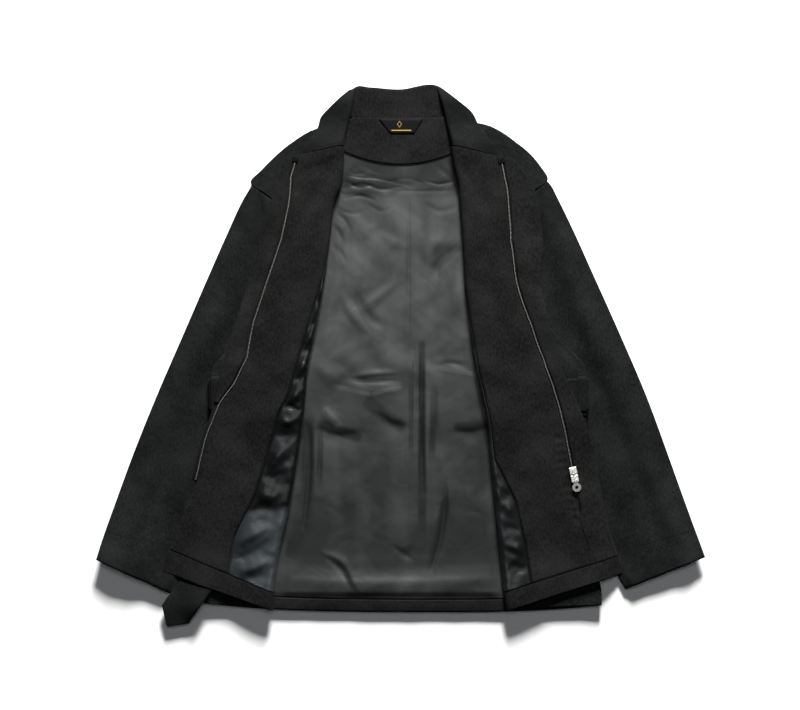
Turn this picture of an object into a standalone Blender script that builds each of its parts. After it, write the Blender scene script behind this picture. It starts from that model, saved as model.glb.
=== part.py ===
"""A belted safari jacket laid open on its back, with both fronts turned back over the sleeves.

Metres, +Z up. The cloth rests on the plane z = 0, +X is to the right and +Y points to the collar.
Every panel is an open grid of points, given its wall by Solidify. Panels that lie on each other share
the same height functions, so each one keeps clear of the one below.
"""

import math
from typing import NamedTuple

import bmesh
import bpy
from mathutils import Matrix, Vector

MM = 0.001

# Walls of cloth
CLOTH = 1.5 * MM
SATIN = 1.0 * MM
SLEEVE_WALL = 1.4 * MM
COLLAR_WALL = 2.2 * MM
BELT_WALL = 1.6 * MM
LABEL_WALL = 0.8 * MM
SEAM = 0.5 * MM

# Heights of the middle of each layer above what the body lies on
BACK_MID = CLOTH / 2
LINING_MID = 2.8 * MM
NECK_FACING_MID = 3.05 * MM
FRONT_LOWER_MID = 6.8 * MM
BELT_END_MID = 9.2 * MM
LOOP_MID = 10.9 * MM
LOOP_END_MID = 8.6 * MM
FRONT_UPPER_MID = 13.1 * MM
LABEL_MID = 4.6 * MM
COLLAR_LOWER_MID = 5.6 * MM
COLLAR_UPPER_MID = 12.3 * MM
COLLAR_FLAT_MID = COLLAR_WALL / 2

# Distances outwards from the middle of a turned front to what is sewn on its inside
LINING_OUT = 2.2 * MM
FACING_OUT = 2.45 * MM
ZIP_OUT = 2.6 * MM

# Sleeves under the body, and the belt between the back and the sleeves
SLEEVE_LIFT = 3.9 * MM
SLEEVE_RAMP = 90 * MM
SLEEVE_UNDER_MID = 0.7 * MM
SLEEVE_TOP_MID = 2.5 * MM
SLEEVE_ARCH = 2.2 * MM
ARCH_SHARE = 0.42
BELT_LIFT = 2.3 * MM
BELT_Y = -57.5 * MM
BELT_WIDTH = 50 * MM
BELT_FLAT = 30 * MM
BELT_RAMP = 50 * MM
OVERHANG_RAMP = 45 * MM
OVERHANG_MID = 1.4 * MM
HEM_OVER_BELT = 3.2 * MM

# The roll where a front or the collar turns back on itself
ROLL_RISE = 5 * MM
ROLL_REACH = 70 * MM
ROLL_OUT = 5 * MM
ROLL_QUARTER = 8 * MM

# Zip, 5 mm coil chain between the facing and the fly strip
CHAIN_WIDTH = 4.4 * MM
CHAIN_WALL = 1.8 * MM
CHAIN_CLEAR = 3.0 * MM

HEM_DEPTH = 20 * MM
REPEAT = 0.01 * MM

# Columns of facets on the two legs of a turned front
LOWER_COLUMNS = 4
UPPER_COLUMNS = 8


class FrontRow(NamedTuple):
    """One level of a front: side seam, fold, free edge, zip's distance from that edge, and how
    far the lining shows from the outermost point of the fold.
    """

    side: tuple
    fold: tuple
    edge: tuple
    strip: float
    lining: float


class CollarRow(NamedTuple):
    """One level of a turned-back collar end: hidden end below, fold, free edge above."""

    side: tuple
    fold: tuple
    edge: tuple


class SleeveRow(NamedTuple):
    """One level of a sleeve laid flat: its outer and its inner edge."""

    outer: tuple
    inner: tuple


LEFT_ROWS = (
    FrontRow((-0.131, 0.3475), (-0.0890, 0.3245), (-0.179, 0.308), 0.018, 0.0),
    FrontRow((-0.176, 0.323), (-0.0900, 0.309), (-0.183, 0.294), 0.020, 0.0),
    FrontRow((-0.215, 0.289), (-0.0910, 0.287), (-0.189, 0.275), 0.020, 0.0),
    FrontRow((-0.231, 0.268), (-0.0950, 0.262), (-0.196, 0.252), 0.026, 0.0),
    FrontRow((-0.199, 0.243), (-0.1050, 0.236), (-0.203, 0.229), 0.030, 0.0),
    FrontRow((-0.181, 0.189), (-0.1110, 0.182), (-0.217, 0.180), 0.033, 0.004),
    FrontRow((-0.199, 0.104), (-0.1200, 0.112), (-0.234, 0.118), 0.028, 0.008),
    FrontRow((-0.246, 0.034), (-0.1330, 0.042), (-0.254, 0.055), 0.027, 0.022),
    FrontRow((-0.290, -0.017), (-0.1440, -0.014), (-0.269, 0.005), 0.033, 0.028),
    FrontRow((-0.291, -0.059), (-0.1480, -0.059), (-0.280, -0.035), 0.025, 0.035),
    FrontRow((-0.291, -0.097), (-0.1520, -0.097), (-0.287, -0.070), 0.008, 0.046),
    FrontRow((-0.297, -0.159), (-0.1610, -0.159), (-0.305, -0.126), 0.004, 0.051),
    FrontRow((-0.300, -0.229), (-0.1730, -0.229), (-0.320, -0.188), 0.004, 0.062),
    FrontRow((-0.301, -0.299), (-0.1890, -0.299), (-0.339, -0.251), 0.0, 0.074),
    FrontRow((-0.302, -0.347), (-0.1970, -0.360), (-0.360, -0.303), 0.0, 0.078),
    FrontRow((-0.303, -0.380), (-0.1990, -0.389), (-0.368, -0.331), 0.0, 0.078),
)
RIGHT_ROWS = (
    FrontRow((0.124, 0.354), (0.0805, 0.3245), (0.176, 0.304), 0.022, 0.0),
    FrontRow((0.190, 0.323), (0.0830, 0.309), (0.187, 0.290), 0.030, 0.0),
    FrontRow((0.218, 0.293), (0.0870, 0.287), (0.202, 0.270), 0.042, 0.0),
    FrontRow((0.227, 0.272), (0.0930, 0.262), (0.210, 0.248), 0.045, 0.0),
    FrontRow((0.201, 0.250), (0.0950, 0.236), (0.214, 0.224), 0.047, 0.0),
    FrontRow((0.181, 0.189), (0.0990, 0.182), (0.221, 0.176), 0.051, 0.0),
    FrontRow((0.195, 0.104), (0.1030, 0.112), (0.218, 0.113), 0.038, 0.0),
    FrontRow((0.241, 0.034), (0.1110, 0.042), (0.228, 0.051), 0.026, 0.004),
    FrontRow((0.285, -0.014), (0.1190, -0.014), (0.240, 0.001), 0.020, 0.008),
    FrontRow((0.286, -0.059), (0.1280, -0.059), (0.258, -0.039), 0.024, 0.016),
    FrontRow((0.287, -0.097), (0.1360, -0.097), (0.274, -0.074), 0.029, 0.014),
    FrontRow((0.294, -0.159), (0.1420, -0.159), (0.295, -0.129), 0.038, 0.015),
    FrontRow((0.299, -0.229), (0.1490, -0.229), (0.307, -0.192), 0.039, 0.038),
    FrontRow((0.304, -0.299), (0.1560, -0.299), (0.319, -0.254), 0.039, 0.050),
    FrontRow((0.308, -0.347), (0.1620, -0.360), (0.336, -0.306), 0.036, 0.052),
    FrontRow((0.311, -0.383), (0.1670, -0.389), (0.343, -0.334), 0.0, 0.052),
)
HEM_ROW = 14
LEFT_ZIP_ROWS = (0, 12)
RIGHT_ZIP_ROWS = (0, 12)
LEFT_STRIP_ROWS = (0, 10)
RIGHT_STRIP_ROWS = (0, 14)

LEFT_COLLAR = (
    CollarRow((-0.079, 0.4075), (-0.070, 0.4150), (-0.0775, 0.4125)),
    CollarRow((-0.096, 0.390), (-0.073, 0.4000), (-0.098, 0.394)),
    CollarRow((-0.116, 0.371), (-0.077, 0.3800), (-0.122, 0.372)),
    CollarRow((-0.121, 0.358), (-0.082, 0.3610), (-0.128, 0.354)),
    CollarRow((-0.108, 0.341), (-0.086, 0.3440), (-0.144, 0.331)),
    CollarRow((-0.101, 0.3350), (-0.088, 0.3295), (-0.158, 0.3135)),
)
RIGHT_COLLAR = (
    CollarRow((0.066, 0.4080), (0.058, 0.4160), (0.0645, 0.4145)),
    CollarRow((0.081, 0.394), (0.063, 0.3990), (0.083, 0.398)),
    CollarRow((0.103, 0.377), (0.069, 0.3770), (0.109, 0.377)),
    CollarRow((0.113, 0.360), (0.073, 0.3590), (0.120, 0.358)),
    CollarRow((0.103, 0.3450), (0.077, 0.3440), (0.139, 0.334)),
    CollarRow((0.094, 0.3380), (0.080, 0.3300), (0.154, 0.3105)),
)
# Lower and upper edge of the flat back of the collar, from left to right
COLLAR_BACK = (
    ((-0.114, 0.3580), (-0.106, 0.3790)),
    ((-0.078, 0.3696), (-0.075, 0.4080)),
    ((-0.032, 0.3695), (-0.039, 0.4130)),
    ((0.015, 0.3695), (0.012, 0.4120)),
    ((0.064, 0.3696), (0.060, 0.4085)),
    ((0.105, 0.3610), (0.098, 0.3830)),
)

LEFT_SLEEVE = (
    SleeveRow((-0.232, 0.264), (-0.196, 0.236)),
    SleeveRow((-0.249, 0.238), (-0.164, 0.189)),
    SleeveRow((-0.267, 0.197), (-0.146, 0.120)),
    SleeveRow((-0.292, 0.135), (-0.143, 0.041)),
    SleeveRow((-0.329, 0.038), (-0.180, -0.020)),
    SleeveRow((-0.368, -0.059), (-0.221, -0.101)),
    SleeveRow((-0.405, -0.159), (-0.263, -0.190)),
    SleeveRow((-0.441, -0.262), (-0.311, -0.290)),
    SleeveRow((-0.469, -0.310), (-0.354, -0.362)),
)
RIGHT_SLEEVE = (
    SleeveRow((0.228, 0.268), (0.194, 0.240)),
    SleeveRow((0.241, 0.246), (0.161, 0.189)),
    SleeveRow((0.266, 0.197), (0.145, 0.120)),
    SleeveRow((0.291, 0.135), (0.140, 0.041)),
    SleeveRow((0.331, 0.038), (0.176, -0.020)),
    SleeveRow((0.368, -0.059), (0.216, -0.101)),
    SleeveRow((0.405, -0.152), (0.257, -0.190)),
    SleeveRow((0.443, -0.245), (0.305, -0.285)),
    SleeveRow((0.469, -0.303), (0.348, -0.356)),
)

# Middle line of each belt end, from the side seam to the point
LEFT_BELT_PATH = (
    (-0.285, -0.0575), (-0.262, -0.060), (-0.240, -0.080), (-0.230, -0.118), (-0.231, -0.170),
    (-0.245, -0.229), (-0.272, -0.283), (-0.309, -0.341), (-0.342, -0.389), (-0.3475, -0.397),
)
RIGHT_BELT_PATH = (
    (0.280, -0.0575), (0.258, -0.060), (0.236, -0.080), (0.226, -0.118), (0.222, -0.170),
    (0.219, -0.229), (0.216, -0.283), (0.214, -0.310),
)
BELT_SIDE = {-1: -0.2965, 1: 0.2915}
BELT_JOIN = {-1: -0.283, 1: 0.278}
BELT_POINT = 22 * MM
BELT_TIP = 1.5 * MM

NECK_FACING_HALF = 95 * MM
NECK_FACING_LOW = 298 * MM
NECK_FACING_RISE = 20 * MM
NECK_FACING_REACH = 87 * MM
NECK_SEAM_Y = 369 * MM
NECK_LEFT = -78 * MM
NECK_RIGHT = 64 * MM

SLIDER_POINT = (0.2688, -0.1870)
SLIDER_TURN = math.radians(12)
TAB_TILT = math.radians(7)
SLIDER_PITCH = 12.4 * MM

# Slider, from the middle of the outer cloth under it: plate over the chain, bridge, and the tab's axis
SLIDER_PLATE = (11.5 * MM, 11.0 * MM, 1.8 * MM)
SLIDER_PLATE_MID = 4.8 * MM
BRIDGE = (2.6 * MM, 7.6 * MM, 2.9 * MM)
BRIDGE_ALONG = -1.2 * MM
BRIDGE_MID = 6.95 * MM
EYE_RADIUS = 1.1 * MM
TAB_AXIS = (0, -2.4 * MM, 7.1 * MM)
TAB_WALL = 1.4 * MM
TAB_BAR = 1.2 * MM
TAB_NECK = 5.8 * MM
TAB_WINDOW = (3.2 * MM, 2.8 * MM)
TAB_RING = 6.75 * MM
TAB_RING_Y = -11.4 * MM
TAB_HOLE = 2.75 * MM

CHARCOAL = (0.018, 0.019, 0.019)
CHARCOAL_FACING = (0.021, 0.021, 0.019)
SATIN_GREY = (0.105, 0.108, 0.098)
NICKEL = (0.62, 0.61, 0.58)
COIL_BLACK = (0.03, 0.03, 0.03)
LABEL_GOLD = (0.32, 0.25, 0.12)


def smooth(share):
    """0 to 1 with level ends."""
    share = min(max(share, 0.0), 1.0)
    return share * share * (3 - 2 * share)


def mix(a, b, share):
    """Point at a share of the way from a to b."""
    return Vector(a) * (1 - share) + Vector(b) * share


def outside(point, outline):
    """Distance in plan from a point to a closed outline, 0 inside it."""
    inside = False
    nearest = math.inf
    for start, end in zip(outline, outline[1:] + outline[:1]):
        side = Vector(end) - Vector(start)
        along = (point - Vector(start)).dot(side) / side.length_squared
        nearest = min(nearest, (point - mix(start, end, min(max(along, 0), 1))).length)
        if (start[1] > point.y) != (end[1] > point.y):
            cross_x = start[0] + (point.y - start[1]) / (end[1] - start[1]) * (end[0] - start[0])
            inside ^= point.x < cross_x
    return 0.0 if inside else nearest


def sleeve_outline(rows):
    """Outline of a sleeve in plan."""
    return [row.outer for row in rows] + [row.inner for row in reversed(rows)]


BODY_OUTLINE = (
    [row.side for row in LEFT_ROWS]
    + [row.side for row in reversed(RIGHT_ROWS)]
    + [(NECK_RIGHT, 0.415), (NECK_LEFT, 0.415)]
)
SLEEVE_OUTLINES = (sleeve_outline(LEFT_SLEEVE), sleeve_outline(RIGHT_SLEEVE))


def sleeve_lift(point):
    """How far the sleeves under the body lift it."""
    distance = min(outside(point, outline) for outline in SLEEVE_OUTLINES)
    return SLEEVE_LIFT * (1 - smooth(distance / SLEEVE_RAMP))


def body_share(point):
    """1 over the body, falling to 0 where a panel hangs past its side."""
    return 1 - smooth(outside(point, BODY_OUTLINE) / OVERHANG_RAMP)


def body_lift(point):
    """Height of the back's underside: over the sleeves, and over the belt where it runs behind."""
    belt = 1 - smooth((abs(point.y - BELT_Y) - BELT_FLAT) / BELT_RAMP)
    return sleeve_lift(point) + BELT_LIFT * belt * body_share(point)


def lower_height(point):
    """Middle of the lower leg of a front."""
    return body_lift(point) + FRONT_LOWER_MID


def upper_height(point, from_fold):
    """Middle of a front's turned-back leg, which rolls up at the fold and sinks past the body's side."""
    share = body_share(point)
    hem = HEM_OVER_BELT * smooth((-0.18 - point.y) / 0.08) if point.x < 0 else 0.0
    roll = ROLL_RISE * (1 - smooth(from_fold / ROLL_REACH))
    return body_lift(point) + roll + FRONT_UPPER_MID * share + (OVERHANG_MID + hem) * (1 - share)


def collar_lower(_point):
    """Middle of the hidden leg of a turned collar end."""
    return COLLAR_LOWER_MID


def collar_upper(_point, _from_fold):
    """Middle of the visible leg of a turned collar end."""
    return COLLAR_UPPER_MID


class Turned:
    """The section of a cloth that folds back on itself, measured from the outermost point of its fold.

    Negative places run along the lower leg, positive ones along the upper leg.
    """

    def __init__(self, row, lower, upper):
        fold, side, edge = Vector(row.fold), Vector(row.side), Vector(row.edge)
        out = ((fold - side).normalized() + (fold - edge).normalized()).normalized()
        self.out = out
        self.centre = fold - out * ROLL_OUT
        self.legs = (side - self.centre, edge - self.centre)
        self.heights = (lower, upper)
        self.low = lower(self.centre)
        self.high = upper(self.centre, 0.0)
        self.stations = spread(-self.reach(0), -ROLL_QUARTER, even(LOWER_COLUMNS))
        self.stations += [-ROLL_QUARTER / 2, 0.0, ROLL_QUARTER / 2]
        self.stations += spread(ROLL_QUARTER, self.reach(1), even(UPPER_COLUMNS))

    def reach(self, leg):
        """Place of the end of a leg, 0 for the lower one and 1 for the upper one."""
        return ROLL_QUARTER + self.legs[leg].length

    def between(self, start, end, outwards):
        """Points of the section's facets from one place to another, repeated where a station is left out."""
        return [self.point(min(max(place, start), end), outwards) for place in self.stations]

    def point(self, place, outwards):
        """Point of the section's facets, a distance outwards from the middle of the outer cloth."""
        for start, end in zip(self.stations, self.stations[1:]):
            if place <= end or end == self.stations[-1]:
                share = (place - start) / (end - start)
                return mix(self.station(start, outwards), self.station(end, outwards), share)

    def station(self, place, outwards):
        """Point of the smooth section."""
        if abs(place) <= ROLL_QUARTER:
            angle = math.pi / 2 * place / ROLL_QUARTER
            plan = self.centre + self.out * (ROLL_OUT + outwards) * math.cos(angle)
            half = (self.high - self.low) / 2 + outwards
            return (plan.x, plan.y, (self.high + self.low) / 2 + half * math.sin(angle))
        along = abs(place) - ROLL_QUARTER
        if place < 0:
            plan = self.centre + self.legs[0].normalized() * along
            return (plan.x, plan.y, self.heights[0](plan) - outwards)
        plan = self.centre + self.legs[1].normalized() * along
        return (plan.x, plan.y, self.heights[1](plan, along) + outwards)


def clear_scene():
    """Remove what the startup scene holds."""
    for scene_object in list(bpy.data.objects):
        bpy.data.objects.remove(scene_object, do_unlink=True)


def make_material(name, colour, roughness, metallic=0.0):
    """A plain Principled material."""
    material = bpy.data.materials.new(name)
    material.use_nodes = True
    shader = material.node_tree.nodes["Principled BSDF"]
    shader.inputs["Base Color"].default_value = (*colour, 1.0)
    shader.inputs["Roughness"].default_value = roughness
    shader.inputs["Metallic"].default_value = metallic
    return material


def add_object(name, mesh, collection, material):
    """Put a mesh in the scene under its node's name."""
    made = bpy.data.objects.new(name, mesh)
    collection.objects.link(made)
    mesh.materials.append(material)
    return made


def cloth(name, rows, wall, collection, material):
    """A panel: the rows of points joined into a surface, with a wall centred on it.

    A point that repeats the one before it in its row stands for the same corner.
    """
    mesh = bpy.data.meshes.new(name)
    form = bmesh.new()
    grid = []
    for row in rows:
        line = []
        for point in row:
            repeated = line and (line[-1].co - Vector(point)).length < REPEAT
            line.append(line[-1] if repeated else form.verts.new(point))
        grid.append(line)
    for upper, lower in zip(grid, grid[1:]):
        for corners in zip(upper, lower, lower[1:], upper[1:]):
            corners = list(dict.fromkeys(corners))
            if len(corners) > 2:
                form.faces.new(corners)
    bmesh.ops.recalc_face_normals(form, faces=form.faces)
    form.to_mesh(mesh)
    form.free()
    made = add_object(name, mesh, collection, material)
    made.modifiers.new("Triangles", "TRIANGULATE")
    shell = made.modifiers.new("Wall", "SOLIDIFY")
    shell.thickness = wall
    shell.offset = 0
    shell.use_even_offset = True
    return made


def spread(start, end, shares):
    """Places between two ends at the given shares of the way."""
    return [start + (end - start) * share for share in shares]


BODY_COLUMNS = (0, 0.05, 0.1, 0.15, 0.2, 0.25, 0.32, 0.41, 0.5, 0.59, 0.68, 0.75, 0.8, 0.85, 0.9, 0.95, 1)


def even(count):
    """Even shares from 0 to 1."""
    return [step / count for step in range(count + 1)]


def body_row(level, share):
    """Plan point at a share of the way across the body at one level of the side seams."""
    return mix(LEFT_ROWS[level].side, RIGHT_ROWS[level].side, share)


def raised(plan, middle):
    """A plan point at the height of a layer of the body."""
    return (plan.x, plan.y, body_lift(plan) + middle)


def neck_facing_edge(x):
    """Lower edge of the back neck facing, a shallow curve."""
    return NECK_FACING_LOW + NECK_FACING_RISE * (x / NECK_FACING_REACH) ** 2


def build_back(collection, material):
    """Back panel, from the neck seam and shoulders to the hem."""
    neck = [mix((NECK_LEFT, NECK_SEAM_Y), (NECK_RIGHT, NECK_SEAM_Y), share) for share in BODY_COLUMNS]
    rows = [[raised(plan, BACK_MID) for plan in neck]]
    for level in range(len(LEFT_ROWS)):
        rows.append([raised(body_row(level, share), BACK_MID) for share in BODY_COLUMNS])
    cloth("back", rows, CLOTH, collection, material)


def build_back_lining(collection, material):
    """Satin lining of the back, from the neck facing and shoulders to the turned-up hem."""
    top = [body_row(1, share) for share in BODY_COLUMNS]
    top = [Vector((plan.x, min(plan.y, neck_facing_edge(plan.x) - 3 * SEAM))) for plan in top]
    rows = [top]
    for level in range(2, HEM_ROW):
        rows.append([body_row(level, share) for share in BODY_COLUMNS])
    hem = [body_row(len(LEFT_ROWS) - 1, share) for share in BODY_COLUMNS]
    rows.append([plan + Vector((0, HEM_DEPTH)) for plan in hem])
    rows = [[raised(plan, LINING_MID) for plan in row] for row in rows]
    cloth("back_lining", rows, SATIN, collection, material)


def build_back_hem(collection, material):
    """Turned-up hem of the back."""
    hem = [body_row(len(LEFT_ROWS) - 1, share) for share in BODY_COLUMNS]
    rises = (HEM_DEPTH - 2 * SEAM, 0.0)
    rows = [[raised(plan + Vector((0, rise)), NECK_FACING_MID) for plan in hem] for rise in rises]
    cloth("back_hem", rows, CLOTH, collection, material)


def build_back_neck_facing(collection, material):
    """Self-cloth facing inside the back neck."""
    rows = []
    for share in even(3):
        row = []
        for across in even(8):
            x = -NECK_FACING_HALF + 2 * NECK_FACING_HALF * across
            top = min(NECK_SEAM_Y, NECK_SEAM_Y - (abs(x) - 0.06) * 0.6)
            plan = Vector((x, top + (neck_facing_edge(x) - top) * share))
            row.append(raised(plan, NECK_FACING_MID))
        rows.append(row)
    cloth("back_neck_facing", rows, CLOTH, collection, material)


def build_neck_label(collection, material):
    """Woven label with mitred ends, bare."""
    top, low = 0.3685, 0.3460
    corners = [[(-0.033, top), (0.000, top), (0.035, top)], [(-0.015, low), (0.000, low), (0.021, low)]]
    rows = [[(x, y, LABEL_MID) for x, y in row] for row in corners]
    cloth("neck_label", rows, LABEL_WALL, collection, material)


def front_sections(rows):
    """Sections of a front at each of its levels."""
    return [Turned(row, lower_height, upper_height) for row in rows]


def build_front(side, rows, collection, material):
    """Outer cloth of a front, from the side seam round its fold to the free edge."""
    grid = []
    for section in front_sections(rows):
        grid.append([section.point(place, 0.0) for place in section.stations])
    cloth(f"front_{side}", grid, CLOTH, collection, material)


def build_front_lining(side, rows, collection, material):
    """Satin lining inside a front, from the side seam to the facing, above the turned-up hem."""
    grid = []
    for row, section in zip(rows[:HEM_ROW + 1], front_sections(rows[:HEM_ROW + 1])):
        grid.append(section.between(-section.reach(0), row.lining - SEAM, LINING_OUT))
    cloth(f"front_lining_{side}", grid, SATIN, collection, material)


def facing_end(row, section):
    """Where a front's facing ends: beside the zip's chain, or at the free edge below the zip."""
    return section.reach(1) - (row.strip + CHAIN_CLEAR if row.strip else 0.0)


def build_front_facing(side, rows, collection, material):
    """Self-cloth facing of a front, from the lining to the zip."""
    grid = []
    for row, section in zip(rows[:HEM_ROW + 1], front_sections(rows)):
        grid.append(section.between(row.lining + SEAM, facing_end(row, section), FACING_OUT))
    cloth(f"front_facing_{side}", grid, CLOTH, collection, material)


def build_front_hem(side, rows, collection, material):
    """Turned-up hem along the turned-back part of a front."""
    above, last = front_sections((rows[HEM_ROW], rows[-1]))
    levels = [section.between(0.0, section.reach(1), FACING_OUT) for section in (above, last)]
    grid = [[mix(high, low, 0.04) for high, low in zip(*levels)], levels[1]]
    cloth(f"front_hem_{side}", grid, CLOTH, collection, material)


def build_fly_strip(side, rows, strip_rows, collection, material):
    """Strip of self-cloth beyond the zip, to the front's free edge."""
    grid = []
    rows = rows[strip_rows[0]:strip_rows[1] + 1]
    for row, section in zip(rows, front_sections(rows)):
        end = section.reach(1)
        grid.append(section.between(end - row.strip + CHAIN_CLEAR, end, FACING_OUT))
    cloth(f"fly_strip_{side}", grid, CLOTH, collection, material)


def build_zip(side, rows, zip_rows, collection, material):
    """Coil chain of the zip along one front."""
    grid = []
    rows = rows[zip_rows[0]:zip_rows[1] + 1]
    for row, section in zip(rows, front_sections(rows)):
        middle = section.reach(1) - max(row.strip, CHAIN_WIDTH / 2)
        places = (middle - CHAIN_WIDTH / 2, middle + CHAIN_WIDTH / 2)
        grid.append([section.point(place, ZIP_OUT) for place in places])
    cloth(f"zip_{side}", grid, CHAIN_WALL, collection, material)


def build_collar_back(collection, material):
    """The part of the stand collar that lies flat behind the neck, both its cloths together."""
    rows = []
    for share in even(2):
        plans = [mix(low, top, share) for low, top in COLLAR_BACK]
        rows.append([(plan.x, plan.y, COLLAR_FLAT_MID) for plan in plans])
    cloth("collar_back", rows, COLLAR_WALL, collection, material)


def build_collar_end(side, rows, collection, material):
    """The end of the stand collar, turned back with its front."""
    grid = []
    for row in rows:
        section = Turned(row, collar_lower, collar_upper)
        places = [-section.reach(0), *section.stations[LOWER_COLUMNS:LOWER_COLUMNS + 4]]
        places += spread(ROLL_QUARTER, section.reach(1), even(4))
        grid.append([section.station(place, 0.0) for place in places])
    cloth(f"collar_end_{side}", grid, COLLAR_WALL, collection, material)


def build_sleeve(side, rows, collection, material):
    """Top sleeve and under sleeve, laid flat on each other, with the top one slightly arched."""
    across = (0, 0.1, 0.2, 0.32, ARCH_SHARE, 0.7, 1)
    top = []
    under = []
    for row in rows:
        plans = [mix(row.outer, row.inner, share) for share in across]
        arches = [math.sin(math.pi * min(share / ARCH_SHARE, 1)) ** 2 * SLEEVE_ARCH for share in across]
        top.append([(p.x, p.y, SLEEVE_TOP_MID + arch) for p, arch in zip(plans, arches)])
        ends = (plans[0], plans[-1])
        under.append([(p.x, p.y, SLEEVE_UNDER_MID) for p in ends])
    cloth(f"sleeve_top_{side}", top, SLEEVE_WALL, collection, material)
    cloth(f"sleeve_under_{side}", under, SLEEVE_WALL, collection, material)


def build_belt_back(collection, material):
    """The belt behind the back, over the sleeves that are tucked under."""
    rows = []
    for edge in (-1, 0, 1):
        row = []
        for share in even(18):
            plan = Vector((
                BELT_JOIN[-1] + (BELT_JOIN[1] - BELT_JOIN[-1]) * share,
                BELT_Y + edge * BELT_WIDTH / 2,
            ))
            row.append((plan.x, plan.y, sleeve_lift(plan) + BELT_WALL / 2))
        rows.append(row)
    cloth("belt_back", rows, BELT_WALL, collection, material)


def belt_end_height(plan):
    """Middle of a belt end: on the front's lower leg, or past the body on the sleeve and then the table."""
    share = body_share(plan)
    on_sleeve = sleeve_lift(plan) / SLEEVE_LIFT
    free = BELT_WALL / 2 + 0.05 * MM + 0.55 * MM * on_sleeve
    return body_lift(plan) + BELT_END_MID * share + free * (1 - share)


def curve_through(points, steps):
    """A smooth course through a few points, with a number of steps between each two."""
    ends = [Vector(point) for point in (points[0], *points, points[-1])]
    course = []
    for before, start, end, after in zip(ends, ends[1:], ends[2:], ends[3:]):
        for step in range(steps):
            t = step / steps
            leave = (end - before) / 2
            arrive = (after - start) / 2
            course.append(
                start * (2 * t ** 3 - 3 * t ** 2 + 1) + leave * (t ** 3 - 2 * t ** 2 + t)
                + end * (3 * t ** 2 - 2 * t ** 3) + arrive * (t ** 3 - t ** 2)
            )
    return course + [ends[-1]]


def build_belt_end(name, sign, path, collection, material):
    """One end of the belt: round the side of the body, over the front's lower leg, to its point."""
    half = BELT_WIDTH / 2
    grid = []
    inner = Vector((BELT_JOIN[sign] + sign * 0.4 * MM, BELT_Y))
    low = sleeve_lift(inner) + BELT_WALL / 2
    start = Vector(path[0])
    high = belt_end_height(start)
    across = (-1, 0, 1)
    grid.append([(inner.x, inner.y + edge * half, low) for edge in across])
    turn_x = BELT_SIDE[sign] - sign * (BELT_WALL / 2 + 4.2 * MM)
    for angle in (-90, -45, 0, 45, 90):
        x = turn_x + sign * 4.2 * MM * math.cos(math.radians(angle))
        z = (low + high) / 2 + (high - low) / 2 * math.sin(math.radians(angle))
        grid.append([(x, BELT_Y + edge * half, z) for edge in across])
    course = curve_through(path, 2)
    course.append(course[-1] + (course[-1] - course[-2]).normalized() * BELT_POINT)
    for before, here, after in zip(course, course[1:], course[2:] + course[-1:]):
        heading = (after - before).normalized()
        width = half if here != course[-1] else BELT_TIP
        cross = Vector((-heading.y, heading.x)) * width * sign
        plans = [here + cross * edge for edge in across]
        grid.append([(plan.x, plan.y, belt_end_height(plan)) for plan in plans])
    cloth(name, grid, BELT_WALL, collection, material)


def build_belt_loop(side, sign, collection, material):
    """Belt loop at a side seam, lying on the belt, with its ends down on the front."""
    centre_x = {-1: -0.2855, 1: 0.2805}[sign]
    half_width = 7 * MM
    half_belt = BELT_WIDTH / 2
    ends = ((half_belt + 8 * MM, LOOP_END_MID), (half_belt + 3 * MM, LOOP_END_MID), (half_belt, LOOP_MID))
    course = [(-along, height) for along, height in ends] + list(reversed(ends))
    rows = []
    for along, height in course:
        plans = [Vector((centre_x + edge * half_width, BELT_Y + along)) for edge in (-1, 1)]
        rows.append([raised(plan, height) for plan in plans])
    cloth(f"belt_loop_{side}", rows, SATIN, collection, material)


def block(name, size, centre, collection):
    """A box from its size and the middle of it, as a mesh object."""
    mesh = bpy.data.meshes.new(name)
    form = bmesh.new()
    bmesh.ops.create_cube(form, size=1.0, matrix=Matrix.Diagonal((*size, 1.0)))
    bmesh.ops.translate(form, verts=form.verts, vec=centre)
    form.to_mesh(mesh)
    form.free()
    made = bpy.data.objects.new(name, mesh)
    collection.objects.link(made)
    return made


def helper(made, parent):
    """Hide a shape that only takes part in a Boolean."""
    made.hide_render = True
    made.display_type = "WIRE"
    made.parent = parent


def build_slider(name, along, parent, collection, cutters, material):
    """Body of a zip slider: a rounded plate over the chain, with a bridge that a tab can hang on."""
    body = block(name, SLIDER_PLATE, (0, along, SLIDER_PLATE_MID), collection)
    body.data.materials.append(material)
    body.parent = parent
    bridge = block(f"{name}_bridge", BRIDGE, (0, along + BRIDGE_ALONG, BRIDGE_MID), cutters)
    eye_mesh = bpy.data.meshes.new(f"{name}_eye")
    form = bmesh.new()
    across = Matrix.Translation((0, along + TAB_AXIS[1], TAB_AXIS[2])) @ Matrix.Rotation(math.pi / 2, 4, "Y")
    bmesh.ops.create_cone(
        form, cap_ends=True, segments=16, radius1=EYE_RADIUS, radius2=EYE_RADIUS, depth=4 * BRIDGE[0],
        matrix=across,
    )
    form.to_mesh(eye_mesh)
    form.free()
    eye = bpy.data.objects.new(f"{name}_eye", eye_mesh)
    cutters.objects.link(eye)
    rounded = body.modifiers.new("Rounded", "BEVEL")
    rounded.width = 0.7 * MM
    rounded.segments = 2
    for cutter, operation in ((bridge, "UNION"), (eye, "DIFFERENCE")):
        helper(cutter, parent)
        joined = body.modifiers.new(cutter.name, "BOOLEAN")
        joined.operation = operation
        joined.solver = "EXACT"
        joined.object = cutter


def add_spline(curve, points):
    """A closed outline on a flat curve."""
    spline = curve.splines.new("POLY")
    spline.points.add(len(points) - 1)
    for place, (x, y) in zip(spline.points, points):
        place.co = (x, y, 0, 1)
    spline.use_cyclic_u = True


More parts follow.
